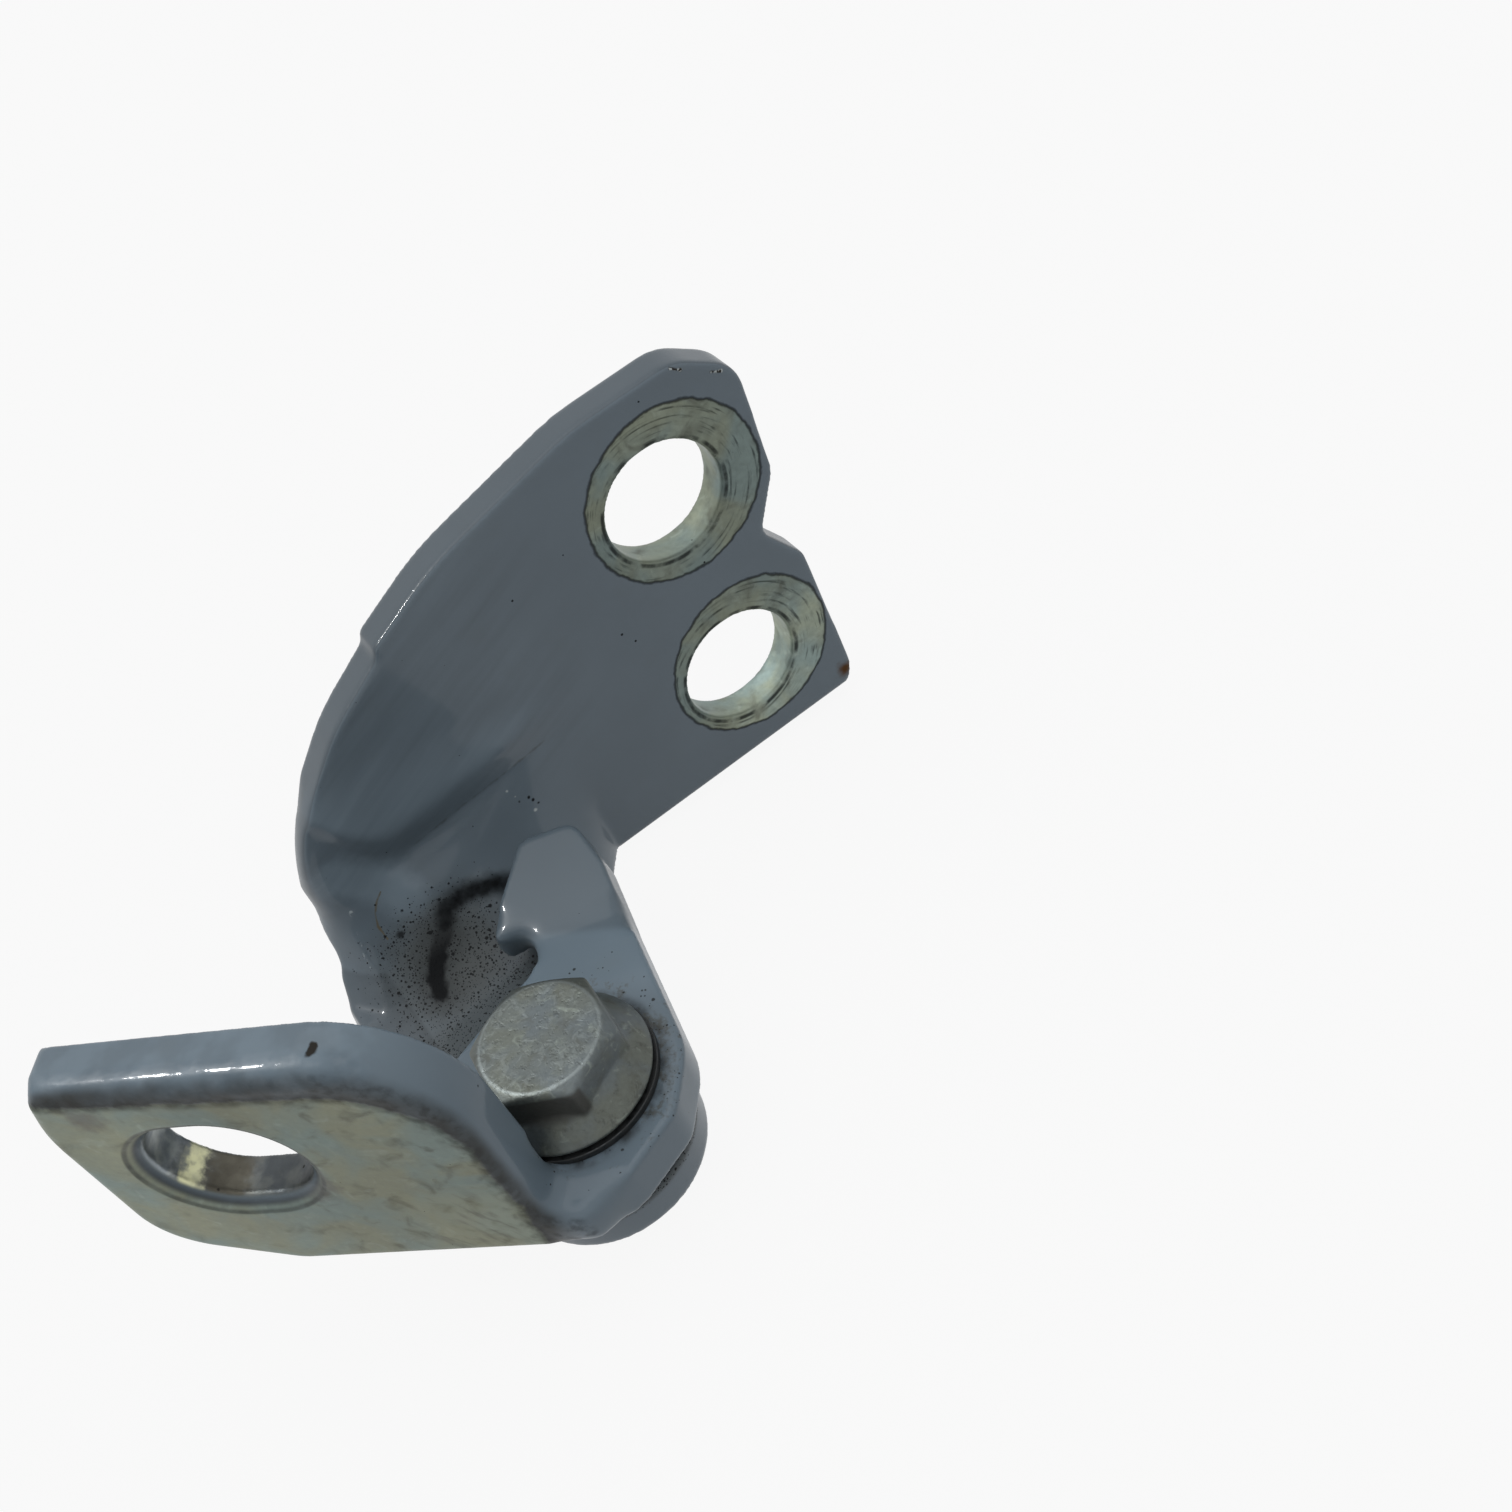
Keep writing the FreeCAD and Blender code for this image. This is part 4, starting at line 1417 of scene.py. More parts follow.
    def plate_light(self, ground: Ground, colour: Socket, facing: Socket, dull: Socket) -> Socket:
        """Paints light and shade into the paint: lighter streaks, a lighter hollow and bend, darker cut
        edges.

        Args:
            ground: what the finish is laid on.
            colour: the clean paint.
            facing: how far the metal faces along the depth.
            dull: the mask of the dull metal over the crease, which is also painted lighter.

        Returns:
            The colour.
        """
        board = ground.board
        slant = board.math("MULTIPLY_ADD", ground.up, self.lit_streak_slope, ground.across)
        level = board.math("MULTIPLY_ADD", ground.across, -self.lit_streak_slope, ground.up)
        # Painted light in soft streaks over the crease.
        lit_streaks = board.both(
            board.lumps(board.joined(board.both(slant, 0.09), 0.0, level), 2.4, 3.0),
            board.ease(ground.across, *self.lit_streak_across),
            board.ease(ground.up, *self.lit_streak_height),
            0.5,
        )
        # Faces turned sideways, the cut edges, are darkened: painted shade.
        edge = board.both(
            board.ease(board.math("ABSOLUTE", facing), 0.8, 0.45),
            board.ease(ground.up, *self.cut_edge_height),
        )
        # Painted light along the bend's left.
        lit_bend_path = ground.stroke(self.lit_bend_path)
        for mask, share in ((lit_streaks, 0.9), (dull, 0.4), (lit_bend_path, 0.5), (edge, -0.36)):
            colour = board.shade(colour, board.math("MULTIPLY_ADD", mask, share, 1.0))
        return colour

    def dust_cover(self, ground: Ground, lying: Socket) -> Socket:
        """Finds where dust lies: on the bend's floor and on the boss.

        Args:
            ground: what the finish is laid on.
            lying: how far the metal faces up.

        Returns:
            The mask.
        """
        board = ground.board
        on_bend = board.both(
            ground.blot(self.dusty),
            board.ease(ground.up, *self.bend_height),
            board.ease(lying, -0.1, 0.2),
        )
        on_boss = board.both(
            board.ease(ground.up, self.boss_top_mm + 1.6, self.boss_top_mm),
            board.ease(ground.up, self.boss_top_mm - 1.8, self.boss_top_mm - 0.9),
            board.ease(ground.radius, *self.boss_reach),
            0.8,
        )
        return board.either(on_bend, on_boss)

    def dark_arc(self, ground: Ground) -> Socket:
        """Finds the black arc along the finger's outline: a soft upper arm, a dense foot and its halo.

        Args:
            ground: what the finish is laid on.

        Returns:
            The mask.
        """
        board = ground.board
        blotchy = board.math("MULTIPLY_ADD", board.noise(ground.point, 1.4, 4.0), 0.4, 0.74)
        low = board.ease(ground.up, *self.foot_height)
        dense = board.math("MULTIPLY_ADD", low, 0.25, 0.75)
        return board.either(
            board.both(ground.stroke(self.dark_arc_arm), blotchy),
            board.both(ground.stroke(self.dark_arc_foot), dense),
            board.both(ground.stroke(self.dark_arc_halo), 0.4),
            board.both(ground.blot(self.lump), 0.85),
        )

    def fine_marks(self, ground: Ground, colour: Socket) -> Socket:
        """Draws the scratch, the light chips, painted shade low on the bend's edge, painted glints on
        cracked paint, the crease.

        Args:
            ground: what the finish is laid on.
            colour: the dusty paint.

        Returns:
            The colour.
        """
        board = ground.board
        scratch = board.both(ground.stroke(self.scratch), 0.75)
        colour = board.tint(scratch, colour, self.scratch_tone)
        colour = board.tint(self.chips(ground, self.light_chips), colour, self.chip_tone)
        # The bend's lower left, facing down, is darkened: painted shade.
        broken = board.both(
            board.ease(ground.across, *self.shaded_break_across), board.ease(ground.up, *self.shaded_break_height)
        )
        colour = board.shade(colour, board.math("MULTIPLY_ADD", broken, -0.3, 1.0))
        gaps = board.ease(board.noise(ground.point, 0.7, 3.0), 0.46, 0.58)
        # White lines along cracked paint: painted glints.
        crack_glints = board.both(ground.stroke(self.crack_glint), gaps, 0.8)
        colour = board.tint(crack_glints, colour, self.crack_glint_tone)
        crease = board.both(ground.stroke(self.crease), 0.55)
        return board.tint(crease, colour, self.crease_tone)

    def bare_zinc(self, ground: Ground, colour: Socket) -> Socket:
        """Paints light on the zinc inside the holes and at the lower ring's right.

        Args:
            ground: what the finish is laid on.
            colour: the dull zinc.

        Returns:
            The colour.
        """
        board = ground.board
        slant = board.math("SUBTRACT", ground.across, ground.up)
        low_ring = board.both(
            board.ease(ground.up, *self.low_ring_height), board.ease(slant, *self.low_ring_slant), 0.5
        )
        in_hole = board.both(board.ease(ground.deep, self.face_mm + 0.4, self.face_mm + 1.0), 0.4)
        return board.shade(colour, board.math("ADD", board.math("ADD", low_ring, in_hole), 1.0))

    def wire(self, board: Board, effects: Effects, shader: bpy.types.Node) -> None:
        """Wires paint, bare rings, specks on the bend, the dark arc, scratch and rust, with painted light
        and shade.

        Args:
            board: the material's tree.
            effects: the shared node groups.
            shader: its Principled node.
        """
        ground = Ground(board, effects, self.place_mm(board))
        _, facing, lying = board.split(board.node("ShaderNodeNewGeometry").outputs["Normal"])
        bare, rims = self.bare_places(ground)
        ripple = board.math("MULTIPLY_ADD", ground.blot(self.left_bend), 0.05, 0.004)
        paint = board.place(effects.paint, Point=ground.point, Tone=self.tone, Ripple=ripple)
        # Over the crease: a duller coat and painted light.
        over_crease = HOLLOW.above(board, ground.across, ground.up, HOLLOW.dull)
        dull = board.both(over_crease, board.ease(ground.deep, *self.hollow_depth))
        colour = self.plate_light(ground, paint.outputs["Colour"], facing, dull)

        dust = self.dust_cover(ground, lying)
        fine = ground.specks(ground.point, board.math("MULTIPLY_ADD", dust, 1.3, 0.0006), 0.52)
        many = board.math("MULTIPLY_ADD", dust, 0.45, 0.001)
        specks = board.either(fine, ground.specks(ground.moved(3.0, 5.0, 7.0), many, 0.95))
        haze = board.either(board.both(ground.film(dust, 0.8), 0.6), board.both(dust, 0.7))
        colour = self.fine_marks(ground, board.tint(haze, colour, self.dust))
        dark_chips = self.chips(ground, self.dark_chips)
        dark = board.either(self.dark_arc(ground), board.both(specks, 0.93), rims, dark_chips)
        rust = ground.blot(self.rust)
        top_chips = board.either(*(ground.stroke(mark) for mark in self.top_chips))
        glints = board.both(top_chips, board.ease(board.noise(ground.point, 0.5, 2.0), 0.48, 0.56))

        zinc = board.place(
            effects.zinc,
            Point=ground.point,
            Tone=self.zinc,
            Second_Tone=self.zinc_warm,
            Stain_Tone=self.stain,
            Stain=0.6,
        )
        colour = board.tint(bare, colour, self.bare_zinc(ground, zinc.outputs["Colour"]))
        for mask, tone in (
            (dark, self.black),
            (rust, self.rust_tone),
            (top_chips, self.top_chip_tone),
            (glints, self.glint_tone),
        ):
            colour = board.tint(mask, colour, tone)
        board.feed(shader.inputs["Base Color"], colour)
        spoiled = board.either(dark, rust, top_chips)
        board.feed(shader.inputs["Metallic"], board.both(bare, board.without(spoiled), 0.7))
        rough = board.between(bare, paint.outputs["Rough"], zinc.outputs["Rough"])
        board.feed(shader.inputs["Roughness"], board.between(spoiled, rough, 0.75))
        self.gloss.set_on(shader)
        clean = board.without(board.either(bare, spoiled, haze, board.both(dull, 0.75)))
        board.feed(shader.inputs["Coat Weight"], board.both(clean, self.gloss.cover))
        height = board.between(bare, paint.outputs["Height"], zinc.outputs["Height"])
        step = board.both(bare, -0.05)
        crust = board.both(specks, 0.03)
        self.relief(board, shader, board.math("ADD", board.math("ADD", height, step), crust))


@dataclass(frozen=True)
class BoltZinc(Finish):
    """The bolt: dull zinc, mottled on top, with dirt and painted shade in its corners."""

    name: str = "bolt_zinc"
    turn: float = DOOR_TURN
    tone: Tone = Tone(0.108, 0.126, 0.132)
    warm: Tone = Tone(0.114, 0.125, 0.11)
    stain: Tone = Tone(0.07, 0.066, 0.05)
    blotch_tone: Tone = Tone(0.2, 0.225, 0.22)
    pit_tone: Tone = Tone(0.07, 0.078, 0.072)
    rim_tone: Tone = Tone(0.24, 0.27, 0.27)
    # Nearly black, for dirt and painted shade.
    dirt: Tone = Tone(0.022, 0.022, 0.018)
    head_top_mm: float = 9.9
    rim_top_mm: float = 2.6
    cone_reach_mm: float = 8.4
    crown_reach_mm: float = 7.4
    ray_start: Fade = (4.2, 5.8)
    flange_height: Fade = (6.0, 4.0)
    # Where one hex facet is painted dark: a painted reflection.
    dark_facet_height: Fade = (4.2, 5.4)
    dark_facet_turn: Fade = (0.56, 0.5)
    dark_facet_angle: float = -1.38

    def crown(self, ground: Ground, angle: Socket) -> tuple[Socket, Socket]:
        """Finds the marks on the head's top.

        Args:
            ground: what the finish is laid on.
            angle: the angle about the bolt.

        Returns:
            The mask of the pale rays and blotches, and the mask of the pits.
        """
        board = ground.board
        on_top = board.ease(ground.up, self.head_top_mm - 0.35, self.head_top_mm - 0.12)
        wheel = board.joined(board.both(angle, 6.0), board.both(ground.radius, 0.6), 3.0)
        rays = board.both(
            on_top,
            board.ease(ground.radius, *self.ray_start),
            board.ease(ground.radius, self.crown_reach_mm, self.crown_reach_mm - 0.6),
            board.ease(board.noise(wheel, 1.0, 3.0), 0.5, 0.66),
        )
        blotch = board.both(on_top, board.ease(board.noise(ground.point, 1.3, 5.0, 0.8), 0.5, 0.66))
        grains = board.noise(ground.moved(5.0, 5.0, 0.0), 0.6, 5.0)
        pits = board.both(on_top, board.ease(grains, 0.54, 0.72))
        return board.either(rays, blotch), pits

    def dirt_and_shade(self, ground: Ground, angle: Socket) -> Socket:
        """Finds the dirt on the flange, the painted shade under its rim and one facet's painted dark
        reflection.

        Args:
            ground: what the finish is laid on.
            angle: the angle about the bolt.

        Returns:
            The mask.
        """
        board = ground.board
        on_flange = board.both(
            board.ease(ground.up, *self.flange_height),
            board.ease(ground.radius, self.cone_reach_mm - 1.5, self.cone_reach_mm + 0.2),
        )
        film = ground.film(board.both(on_flange, 0.5), 0.5)
        # All below the flange's rim is darkened: painted shade.
        under = board.ease(ground.up, self.rim_top_mm - 0.9, self.rim_top_mm - 1.3)
        # One hex facet painted dark as a painted reflection of dark surroundings.
        dark_facet = board.both(
            board.ease(board.gap(angle, self.dark_facet_angle), *self.dark_facet_turn),
            board.ease(ground.radius, self.crown_reach_mm - 0.2, self.crown_reach_mm + 0.3),
            board.ease(ground.up, *self.dark_facet_height),
            board.ease(ground.up, self.head_top_mm - 0.7, self.head_top_mm - 1.2),
            0.93,
        )
        return board.either(board.both(film, 0.8), under, dark_facet)

    def wire(self, board: Board, effects: Effects, shader: bpy.types.Node) -> None:
        """Wires zinc with a mottled top, a lighter rim, dirt on the flange and painted shade.

        Args:
            board: the material's tree.
            effects: the shared node groups.
            shader: its Principled node.
        """
        ground = Ground(board, effects, self.place_mm(board, self.turn))
        zinc = board.place(
            effects.zinc,
            Point=board.vector("SCALE", ground.point, 1.6),
            Tone=self.tone,
            Second_Tone=self.warm,
            Stain_Tone=self.stain,
            Stain=0.4,
        )
        angle = board.math("ARCTAN2", ground.deep, ground.across)
        pale, pits = self.crown(ground, angle)
        # A lighter ring at the crown's edge.
        rim = board.both(
            board.ease(board.gap(ground.radius, self.crown_reach_mm), 0.3, 0.05),
            board.ease(ground.up, self.head_top_mm - 0.6, self.head_top_mm - 0.3),
        )
        dirt_and_shade = self.dirt_and_shade(ground, angle)
        colour = zinc.outputs["Colour"]
        for mask, share, tone in (
            (pale, 0.35, self.blotch_tone),
            (pits, 0.35, self.pit_tone),
            (rim, 0.45, self.rim_tone),
        ):
            colour = board.tint(board.both(mask, share), colour, tone)
        board.feed(shader.inputs["Base Color"], board.tint(dirt_and_shade, colour, self.dirt))
        board.feed(shader.inputs["Metallic"], board.both(board.without(dirt_and_shade), 0.75))
        board.feed(shader.inputs["Roughness"], board.math("ADD", zinc.outputs["Rough"], 0.06))
        height = board.math("ADD", zinc.outputs["Height"], board.both(pale, 0.02))
        self.relief(board, shader, board.math("SUBTRACT", height, board.both(pits, 0.03)))


@dataclass(frozen=True)
class OiledMetal(Finish):
    """A small turned part: turning lines under old oil and dust."""

    name: str = "oiled_metal"
    tone: Tone = Tone(0.2, 0.2, 0.19)
    grime: Tone = Tone(0.03, 0.027, 0.022)
    amount: float = 0.6

    def wire(self, board: Board, effects: Effects, shader: bpy.types.Node) -> None:
        """Wires metal with fine turned rings and a broken film of old oil.

        Args:
            board: the material's tree.
            effects: the shared node groups.
            shader: its Principled node.
        """
        ground = Ground(board, effects, self.place_mm(board))
        rings = board.noise(board.joined(ground.radius, 0.0, ground.up), 0.22, 2.0)
        metal = board.tint(0.0, self.tone, self.tone)
        colour = board.shade(metal, board.math("MULTIPLY_ADD", rings, 0.5, 0.75))
        film = ground.film(self.amount, 0.8)
        board.feed(shader.inputs["Base Color"], board.tint(film, colour, self.grime))
        board.feed(shader.inputs["Metallic"], board.both(board.without(film), 0.9))
        board.feed(shader.inputs["Roughness"], board.math("MULTIPLY_ADD", film, 0.25, 0.36))
        self.relief(board, shader, board.both(rings, 0.012))


@dataclass(frozen=True)
class Flow:
    """Where a pressing's metal flows instead of folding, and the hollow drawn in it."""

    soft: tuple[Run, ...]
    passes: int
    turn: float = 0.0
    sharp: tuple[Run, ...] = ()
    hollow: Hollow | None = None

    def place(self, board: Board) -> Socket:
        """Finds the place in millimetres in the frame that the runs are given in.

        Args:
            board: the tree to build in.

        Returns:
            The place as a vector.
        """
        spot = board.node("GeometryNodeInputPosition").outputs[0]
        point = board.vector("SCALE", spot, 1.0 / MM)
        if not self.turn:
            return point
        spun = board.node("ShaderNodeVectorRotate", rotation_type="Z_AXIS")
        board.feed(spun.inputs["Vector"], point)
        spun.inputs["Angle"].default_value = self.turn
        return spun.outputs[0]

    @staticmethod
    def moved(board: Board, flesh: Socket, out: Feed, rise: Feed) -> Socket:
        """Moves the metal.

        Args:
            board: the tree to build in.
            flesh: the geometry.
            out: how far it moves along the depth, in mm.
            rise: how far it moves up, in mm.

        Returns:
            The moved geometry.
        """
        move = board.node("GeometryNodeSetPosition")
        board.feed(move.inputs["Geometry"], flesh)
        board.feed(move.inputs["Offset"], board.vector("SCALE", board.joined(0.0, out, rise), MM))
        return move.outputs[0]

    def draw(self, board: Board, flesh: Socket) -> Socket:
        """Draws the hollow lower and shallower.

        Args:
            board: the tree to build in.
            flesh: the geometry.

        Returns:
            The geometry with its hollow drawn.
        """
        hollow = self.hollow
        point = self.place(board)
        across, deep, up = board.split(point)
        skin = hollow.skin(board, deep)
        ridge = board.math("MULTIPLY_ADD", across, hollow.ridge_slope, hollow.ridge_mm)
        wall = board.ease(board.math("SUBTRACT", up, ridge), 0.0, hollow.wall_mm)
        below = board.math("MAXIMUM", board.math("SUBTRACT", deep, hollow.front_mm), 0.0)
        rise = board.both(hollow.floor.mask(board, point), skin, wall, -hollow.lower_mm)
        kept = board.math("MULTIPLY_ADD", below, hollow.curl, -1.0)
        out = board.both(hollow.run.mask(board, point), skin, below, kept)
        return self.moved(board, flesh, out, rise)

    def swell(self, board: Board, flesh: Socket) -> Socket:
        """Lets the metal over the crease swell a little to the front.

        Args:
            board: the tree to build in.
            flesh: the geometry.

        Returns:
            The geometry with its swelling.
        """
        hollow = self.hollow
        across, deep, up = board.split(self.place(board))
        over_crease = hollow.above(board, across, up, hollow.swollen)
        out = board.both(over_crease, hollow.skin(board, deep), -hollow.swell_mm)
        return self.moved(board, flesh, out, 0.0)

    def tree(self) -> bpy.types.NodeTree:
        """Builds the geometry nodes that draw the hollow and soften the runs.

        Returns:
            The node tree.
        """
        made = bpy.data.node_groups.new("metal_flow", "GeometryNodeTree")
        for way in ("INPUT", "OUTPUT"):
            made.interface.new_socket(name="Geometry", in_out=way, socket_type="NodeSocketGeometry")
        board = Board(made)
        flesh, gives = board.node("NodeGroupInput").outputs[0], board.node("NodeGroupOutput")
        if self.hollow:
            flesh = self.draw(board, flesh)
        point = self.place(board)
        weight = board.either(*(run.mask(board, point) for run in self.soft))
        for run in self.sharp:
            weight = board.both(weight, board.without(run.mask(board, point)))
        blur = board.node("GeometryNodeBlurAttribute", data_type="FLOAT_VECTOR")
        spot = board.node("GeometryNodeInputPosition").outputs[0]
        board.feed(next(s for s in blur.inputs if s.name == "Value" and s.enabled), spot)
        blur.inputs["Iterations"].default_value = self.passes
        board.feed(blur.inputs["Weight"], weight)
        move = board.node("GeometryNodeSetPosition")
        board.feed(move.inputs["Geometry"], flesh)
        board.feed(move.inputs["Position"], next(s for s in blur.outputs if s.enabled))
        flesh = self.swell(board, move.outputs[0]) if self.hollow else move.outputs[0]
        board.feed(gives.inputs[0], flesh)
        return made


def join_seams(piece: bpy.types.Object) -> None:
    """Adds a modifier that joins the seams between a CAD piece's faces."""
    weld = piece.modifiers.new("join_seams", "WELD")
    weld.merge_threshold = SEAM_MM * MM


@dataclass(frozen=True)
class Skin:
    """How finely a CAD piece is remade, so that its edges turn round."""

    first_mm: float
    rounding: int
    voxel_mm: float
    passes: int
    flow: Flow | None = None

    @staticmethod
    def even(piece: bpy.types.Object, name: str, voxel_mm: float) -> None:
        """Adds a modifier that remakes the piece in even faces.

        Args:
            piece: the CAD piece.
            name: the modifier's name.
            voxel_mm: the size of a face.
        """
        remesh = piece.modifiers.new(name, "REMESH")
        remesh.mode = "VOXEL"
        remesh.voxel_size = voxel_mm * MM
        remesh.use_smooth_shade = True

    @staticmethod
    def smooth(piece: bpy.types.Object, name: str, passes: int) -> None:
        """Adds a modifier that evens out the piece's surface.

        Args:
            piece: the CAD piece.
            name: the modifier's name.
            passes: how often the surface is evened out.
        """
        smooth = piece.modifiers.new(name, "SMOOTH")
        smooth.factor = SMOOTHING
        smooth.iterations = passes

    def wrap(self, piece: bpy.types.Object) -> None:
        """Adds the modifiers that join, remake and round the piece.

        Args:
            piece: the CAD piece.
        """
        join_seams(piece)
        self.even(piece, "fine_faces", self.first_mm)
        self.smooth(piece, "round_edges", self.rounding)
        self.even(piece, "even_faces", self.voxel_mm)
        if self.flow:
            soften = piece.modifiers.new("metal_flow", "NODES")
            soften.node_group = self.flow.tree()
        self.smooth(piece, "calm_faces", self.passes)


@dataclass(frozen=True)
class Break:
    """A small broken edge on a turned part."""

    wide_mm: float
    angle: float = math.radians(35.0)

    def wrap(self, piece: bpy.types.Object) -> None:
        """Adds the modifiers that join the piece's seams and break its edges.

        Args:
            piece: the CAD piece.
        """
        join_seams(piece)
        bevel = piece.modifiers.new("broken_edges", "BEVEL")
        bevel.width = self.wide_mm * MM
        bevel.segments = 2
        bevel.limit_method = "ANGLE"
        bevel.angle_limit = self.angle
        bevel.harden_normals = False


@dataclass
class Assembly:
    """One side of the hinge: its CAD pieces, their edges and finishes."""

    side: Side
    edges: dict[str, Skin | Break]
    finishes: dict[str, Finish]
    pieces: list[bpy.types.Object] = field(default_factory=list)

    def build(self, effects: Effects) -> list[bpy.types.Object]:
        """Dresses every piece of the side.

        Args:
            effects: the shared node groups.

        Returns:
            The dressed pieces.
        """
        for name, finish in self.finishes.items():
            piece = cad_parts[name]
            self.edges[name].wrap(piece)
            made = finish.material(effects)
            piece.data.materials.clear()
            piece.data.materials.append(made)
            self.pieces.append(piece)
            log.info("%s: %s wears %s", self.side.value, name, made.name)
        return self.pieces


class DoorSide(Assembly):
    """The bracket on the door with the pin, the ring and the bolt it carries."""

    flow: Flow = Flow(
        (
            Run((2.5, -14.1, -2.0), (2.5, -14.1, 3.0), reach=2.0, fade=5.0),
            Run((-11.0, 21.7, 0.0), (0.0, 22.3, 0.0), reach=2.0, fade=3.0),
            Run((-47.0, -18.0, 34.2), (-12.0, -18.0, 34.2), reach=1.4, fade=1.6, share=0.5),
            Run((-12.0, -18.0, 34.2), (-4.0, -18.0, 30.0), reach=1.4, fade=1.6, share=0.5),
            Run((-4.0, -18.0, 30.0), (0.5, -16.5, 20.0), reach=1.4, fade=1.6, share=0.5),
            Run((0.5, -16.5, 20.0), (1.5, -16.0, 4.0), reach=1.4, fade=1.6, share=0.5),
        ),
        passes=70,
        turn=DOOR_TURN,
    )
    ring_tone: Tone = Tone(0.05, 0.054, 0.056)
    ring_grime: Tone = Tone(0.008, 0.009, 0.009)
    pin_tone: Tone = Tone(0.16, 0.165, 0.16)

    def __init__(self) -> None:
        """Names the pieces that swing with the door."""
        super().__init__(
            Side.DOOR,
            {
                "door_bracket": Skin(first_mm=0.2, rounding=16, voxel_mm=0.33, passes=3, flow=self.flow),
                "flange_bolt": Skin(first_mm=0.15, rounding=34, voxel_mm=0.19, passes=2),
                "ring_washer": Break(wide_mm=0.12),
                "hinge_pin": Break(wide_mm=0.15),
            },
            {
                "door_bracket": DoorPaint(),
                "flange_bolt": BoltZinc(),
                "ring_washer": OiledMetal("ring_steel", self.ring_tone, self.ring_grime, amount=0.8),
                "hinge_pin": OiledMetal("pin_steel", self.pin_tone),
            },
        )


class BodySide(Assembly):
    """The bracket on the body with the bush and the washer in its boss."""

    flow: Flow = Flow(
        (
            Run((-1.0, 42.0, 8.0), (22.0, 41.5, 10.0), reach=10.0, fade=7.0),
            Run((-16.0, 42.0, -6.0), (-10.0, 42.0, 6.0), reach=2.0, fade=3.0, share=0.5),
        ),
        passes=50,
        sharp=(
            Run((0.5, 42.2, 6.0), (9.6, 41.7, 7.2), reach=0.25, fade=0.8),
            Run((9.6, 41.7, 7.2), (24.0, 41.1, 8.9), reach=0.25, fade=0.8),
        ),
        hollow=HOLLOW,
    )
    bush_tone: Tone = Tone(0.32, 0.22, 0.1)
    washer_tone: Tone = Tone(0.2, 0.205, 0.2)

    def __init__(self) -> None:
        """Names the pieces that stay with the body."""
        super().__init__(
            Side.BODY,
            {
                "body_bracket": Skin(first_mm=0.22, rounding=16, voxel_mm=0.385, passes=3, flow=self.flow),
                "pivot_bush": Break(wide_mm=0.12),
                "lower_washer": Break(wide_mm=0.15),
            },
            {
                "body_bracket": BodyPaint(),
                "pivot_bush": OiledMetal("bush_metal", self.bush_tone, amount=0.55),
                "lower_washer": OiledMetal("washer_steel", self.washer_tone, amount=0.5),
            },
        )


@dataclass(frozen=True)
class Lamp:
    """A soft lamp that looks at the hinge."""

    name: str
    place: Spot
    wide: float
    power: float
    gleam_only: bool = False

    def light(self, target: Vector) -> bpy.types.Object:
        """Makes the lamp.

        Args:
            target: the point it faces.

        Returns:
            The lamp's object.
        """
        data = bpy.data.lights.new(self.name, "AREA")
        data.shape = "DISK"
        data.size = self.wide
        data.energy = self.power
        made = bpy.data.objects.new(self.name, data)
        made.location = self.place
        made.visible_diffuse = not self.gleam_only
        made.rotation_euler = (target - made.location).to_track_quat("-Z", "Y").to_euler()
        bpy.context.scene.collection.objects.link(made)
        return made


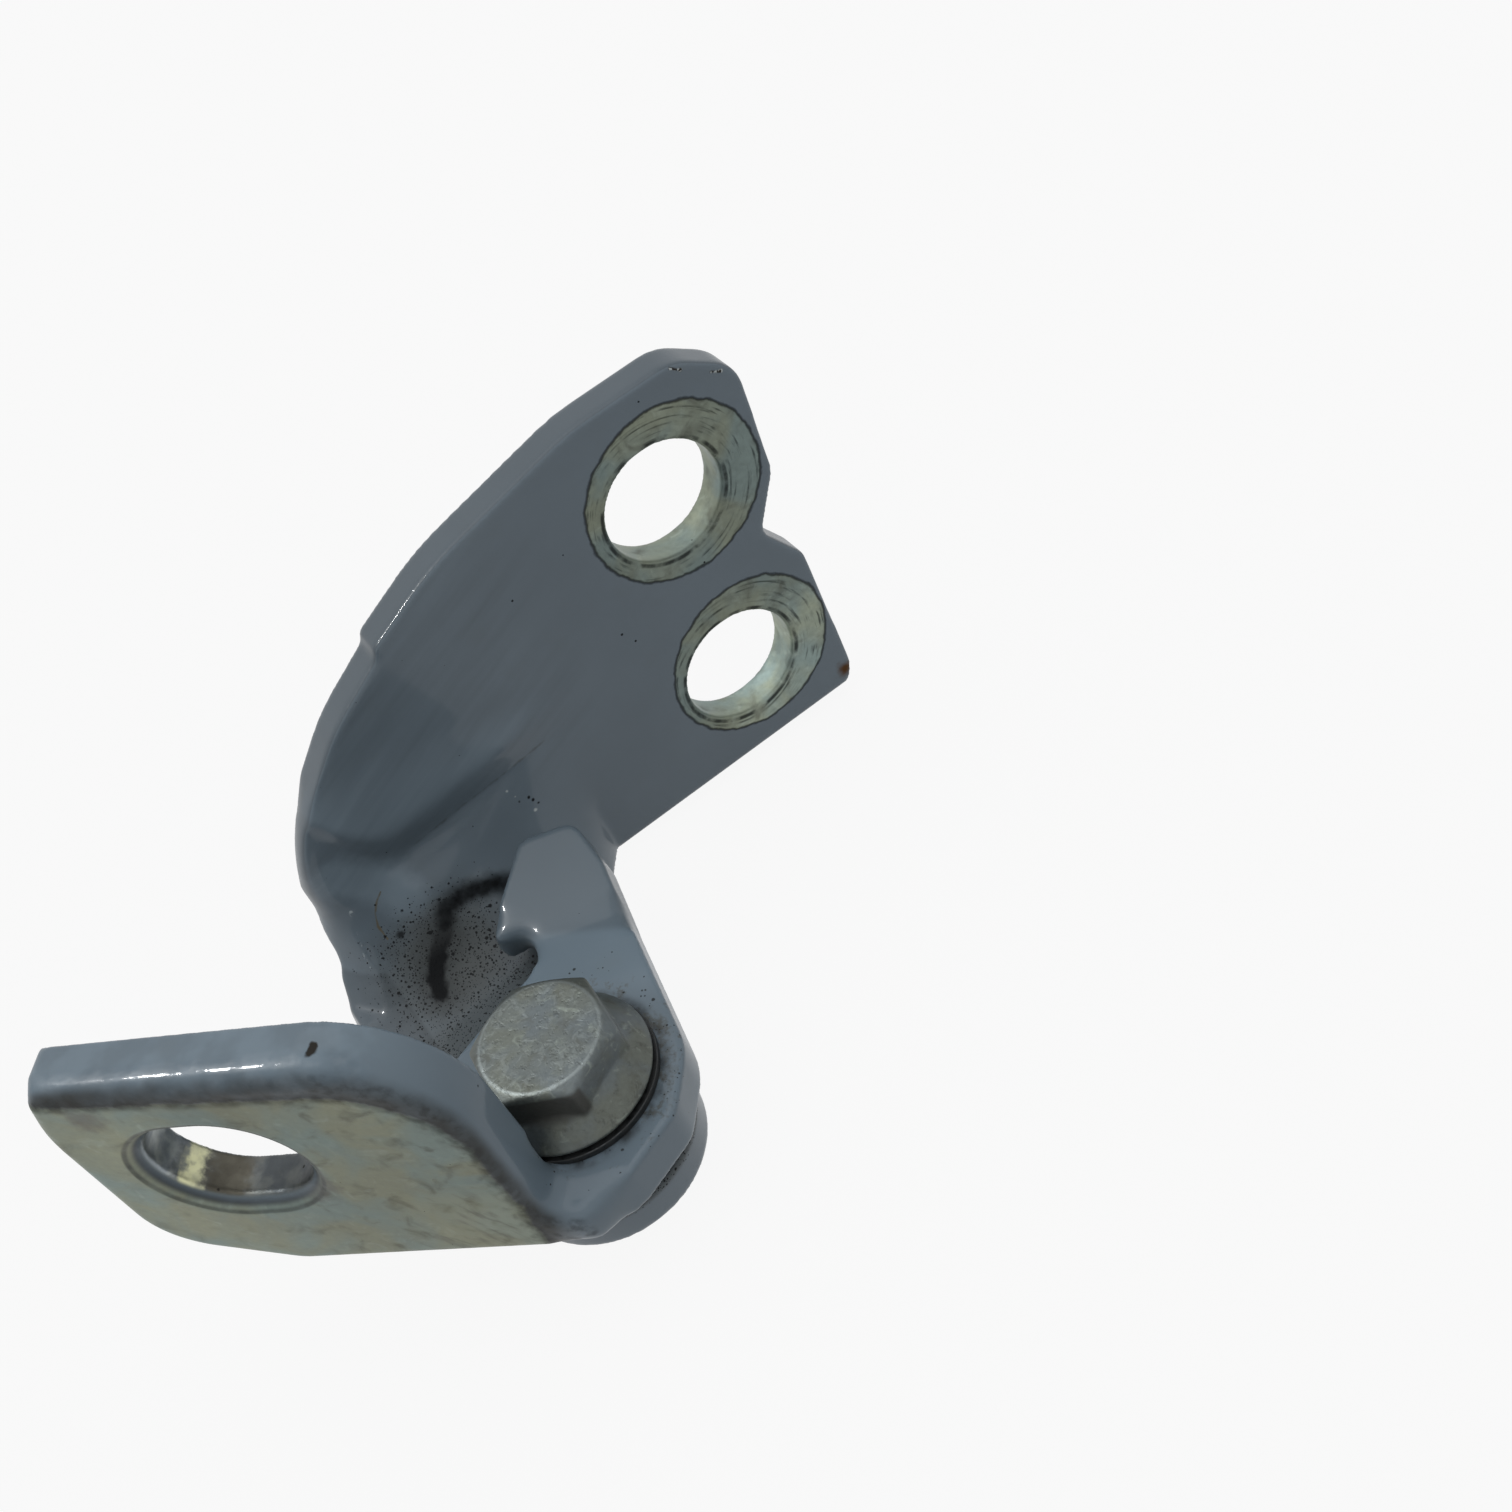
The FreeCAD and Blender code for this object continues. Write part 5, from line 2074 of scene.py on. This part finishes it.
@dataclass
class Studio:
    """The pale floor, the soft lamps and the camera of the photograph."""

    floor_reach: float = 4.0
    glow: float = 0.93
    sky_rise: Fade = (0.35, 0.9)
    pale: Tone = Tone(0.985, 0.985, 0.985)
    floor_tone: Tone = Tone(0.52, 0.52, 0.52)
    sky_low: Tone = Tone(0.33, 0.335, 0.34)
    sky_high: Tone = Tone(0.8, 0.81, 0.82)
    camera_place: Spot = (0.00153, -0.13948, 0.17254)
    camera_right: Spot = (0.7941, -0.5253, -0.3057)
    camera_back: Spot = (-0.1744, -0.6788, 0.7133)
    picture: float = 1512.0
    focal: float = 1850.0
    sensor: float = 36.0
    nearest: float = 0.005
    lamps: tuple[Lamp, ...] = (
        Lamp("overhead", (-0.2, 0.3, 1.4), wide=1.6, power=5.5),
        Lamp("edge_gleam", (-0.33, 0.177, 0.523), wide=0.06, power=2.2, gleam_only=True),
    )

    def build(self) -> None:
        """Builds the floor, the sky, the lamps and the camera."""
        self.build_floor()
        self.build_sky()
        centre = (CAD_BOX[0] + CAD_BOX[1]) / 2
        for lamp in self.lamps:
            lamp.light(centre)
            log.info("lamp: %s", lamp.name)
        self.build_camera()

    def seen(self, board: Board) -> Socket:
        """Finds where a ray comes from the camera, a mirror or through glass.

        Args:
            board: the tree to build in.

        Returns:
            The mask.
        """
        path = board.node("ShaderNodeLightPath")
        return board.either(
            path.outputs["Is Camera Ray"],
            path.outputs["Is Glossy Ray"],
            path.outputs["Is Transmission Ray"],
        )

    def build_floor(self) -> None:
        """A wide pale floor that keeps a light shadow of the hinge."""
        low = CAD_BOX[0].z
        half = self.floor_reach
        mesh = bpy.data.meshes.new("floor")
        corners = [(-half, -half, low), (half, -half, low), (half, half, low), (-half, half, low)]
        mesh.from_pydata(corners, [], [(0, 1, 2, 3)])
        made = bpy.data.objects.new("floor", mesh)
        bpy.context.scene.collection.objects.link(made)
        material = bpy.data.materials.new("pale_floor")
        material.use_nodes = True
        material.node_tree.nodes.clear()
        board = Board(material.node_tree)
        matte = board.node("ShaderNodeBsdfDiffuse")
        board.feed(matte.inputs["Color"], self.floor_tone)
        glow = board.node("ShaderNodeEmission")
        board.feed(glow.inputs["Color"], self.pale)
        mix = board.node("ShaderNodeMixShader")
        board.feed(mix.inputs[0], board.both(self.seen(board), self.glow))
        board.feed(mix.inputs[1], matte.outputs[0])
        board.feed(mix.inputs[2], glow.outputs[0])
        output = board.node("ShaderNodeOutputMaterial")
        board.feed(output.inputs["Surface"], mix.outputs[0])
        mesh.materials.append(material)

    def build_sky(self) -> None:
        """A plain soft sky, pale wherever it is seen."""
        world = bpy.data.worlds.new("studio_sky")
        bpy.context.scene.world = world
        world.use_nodes = True
        world.node_tree.nodes.clear()
        board = Board(world.node_tree)
        way = board.node("ShaderNodeTexCoord").outputs["Generated"]
        _, _, rise = board.split(way)
        light = board.tint(board.ease(rise, *self.sky_rise), self.sky_low, self.sky_high)
        colour = board.tint(self.seen(board), light, self.pale)
        back = board.node("ShaderNodeBackground")
        board.feed(back.inputs["Color"], colour)
        output = board.node("ShaderNodeOutputWorld")
        board.feed(output.inputs["Surface"], back.outputs[0])

    def build_camera(self) -> None:
        """The camera, from its place, its right-hand side and its back."""
        data = bpy.data.cameras.new("photo_camera")
        data.sensor_width = self.sensor
        data.lens = self.sensor * self.focal / self.picture
        data.clip_start = self.nearest
        back = Vector(self.camera_back).normalized()
        up = back.cross(Vector(self.camera_right)).normalized()
        right = up.cross(back)
        made = bpy.data.objects.new("photo_camera", data)
        axes = Matrix((right, up, back)).transposed().to_4x4()
        made.matrix_world = Matrix.Translation(self.camera_place) @ axes
        bpy.context.scene.collection.objects.link(made)
        bpy.context.scene.camera = made


def main() -> None:
    """Builds both sides and the studio, and notes how many pieces each side has."""
    logging.basicConfig(level=logging.INFO, format="%(name)s: %(message)s")
    effects = Effects()
    for assembly in (BodySide(), DoorSide()):
        pieces = assembly.build(effects)
        log.info("%s: %d pieces", assembly.side.value, len(pieces))
    Studio().build()
    scene = bpy.context.scene
    scene.view_settings.view_transform = "Standard"


if __name__ == "__main__":
    main()
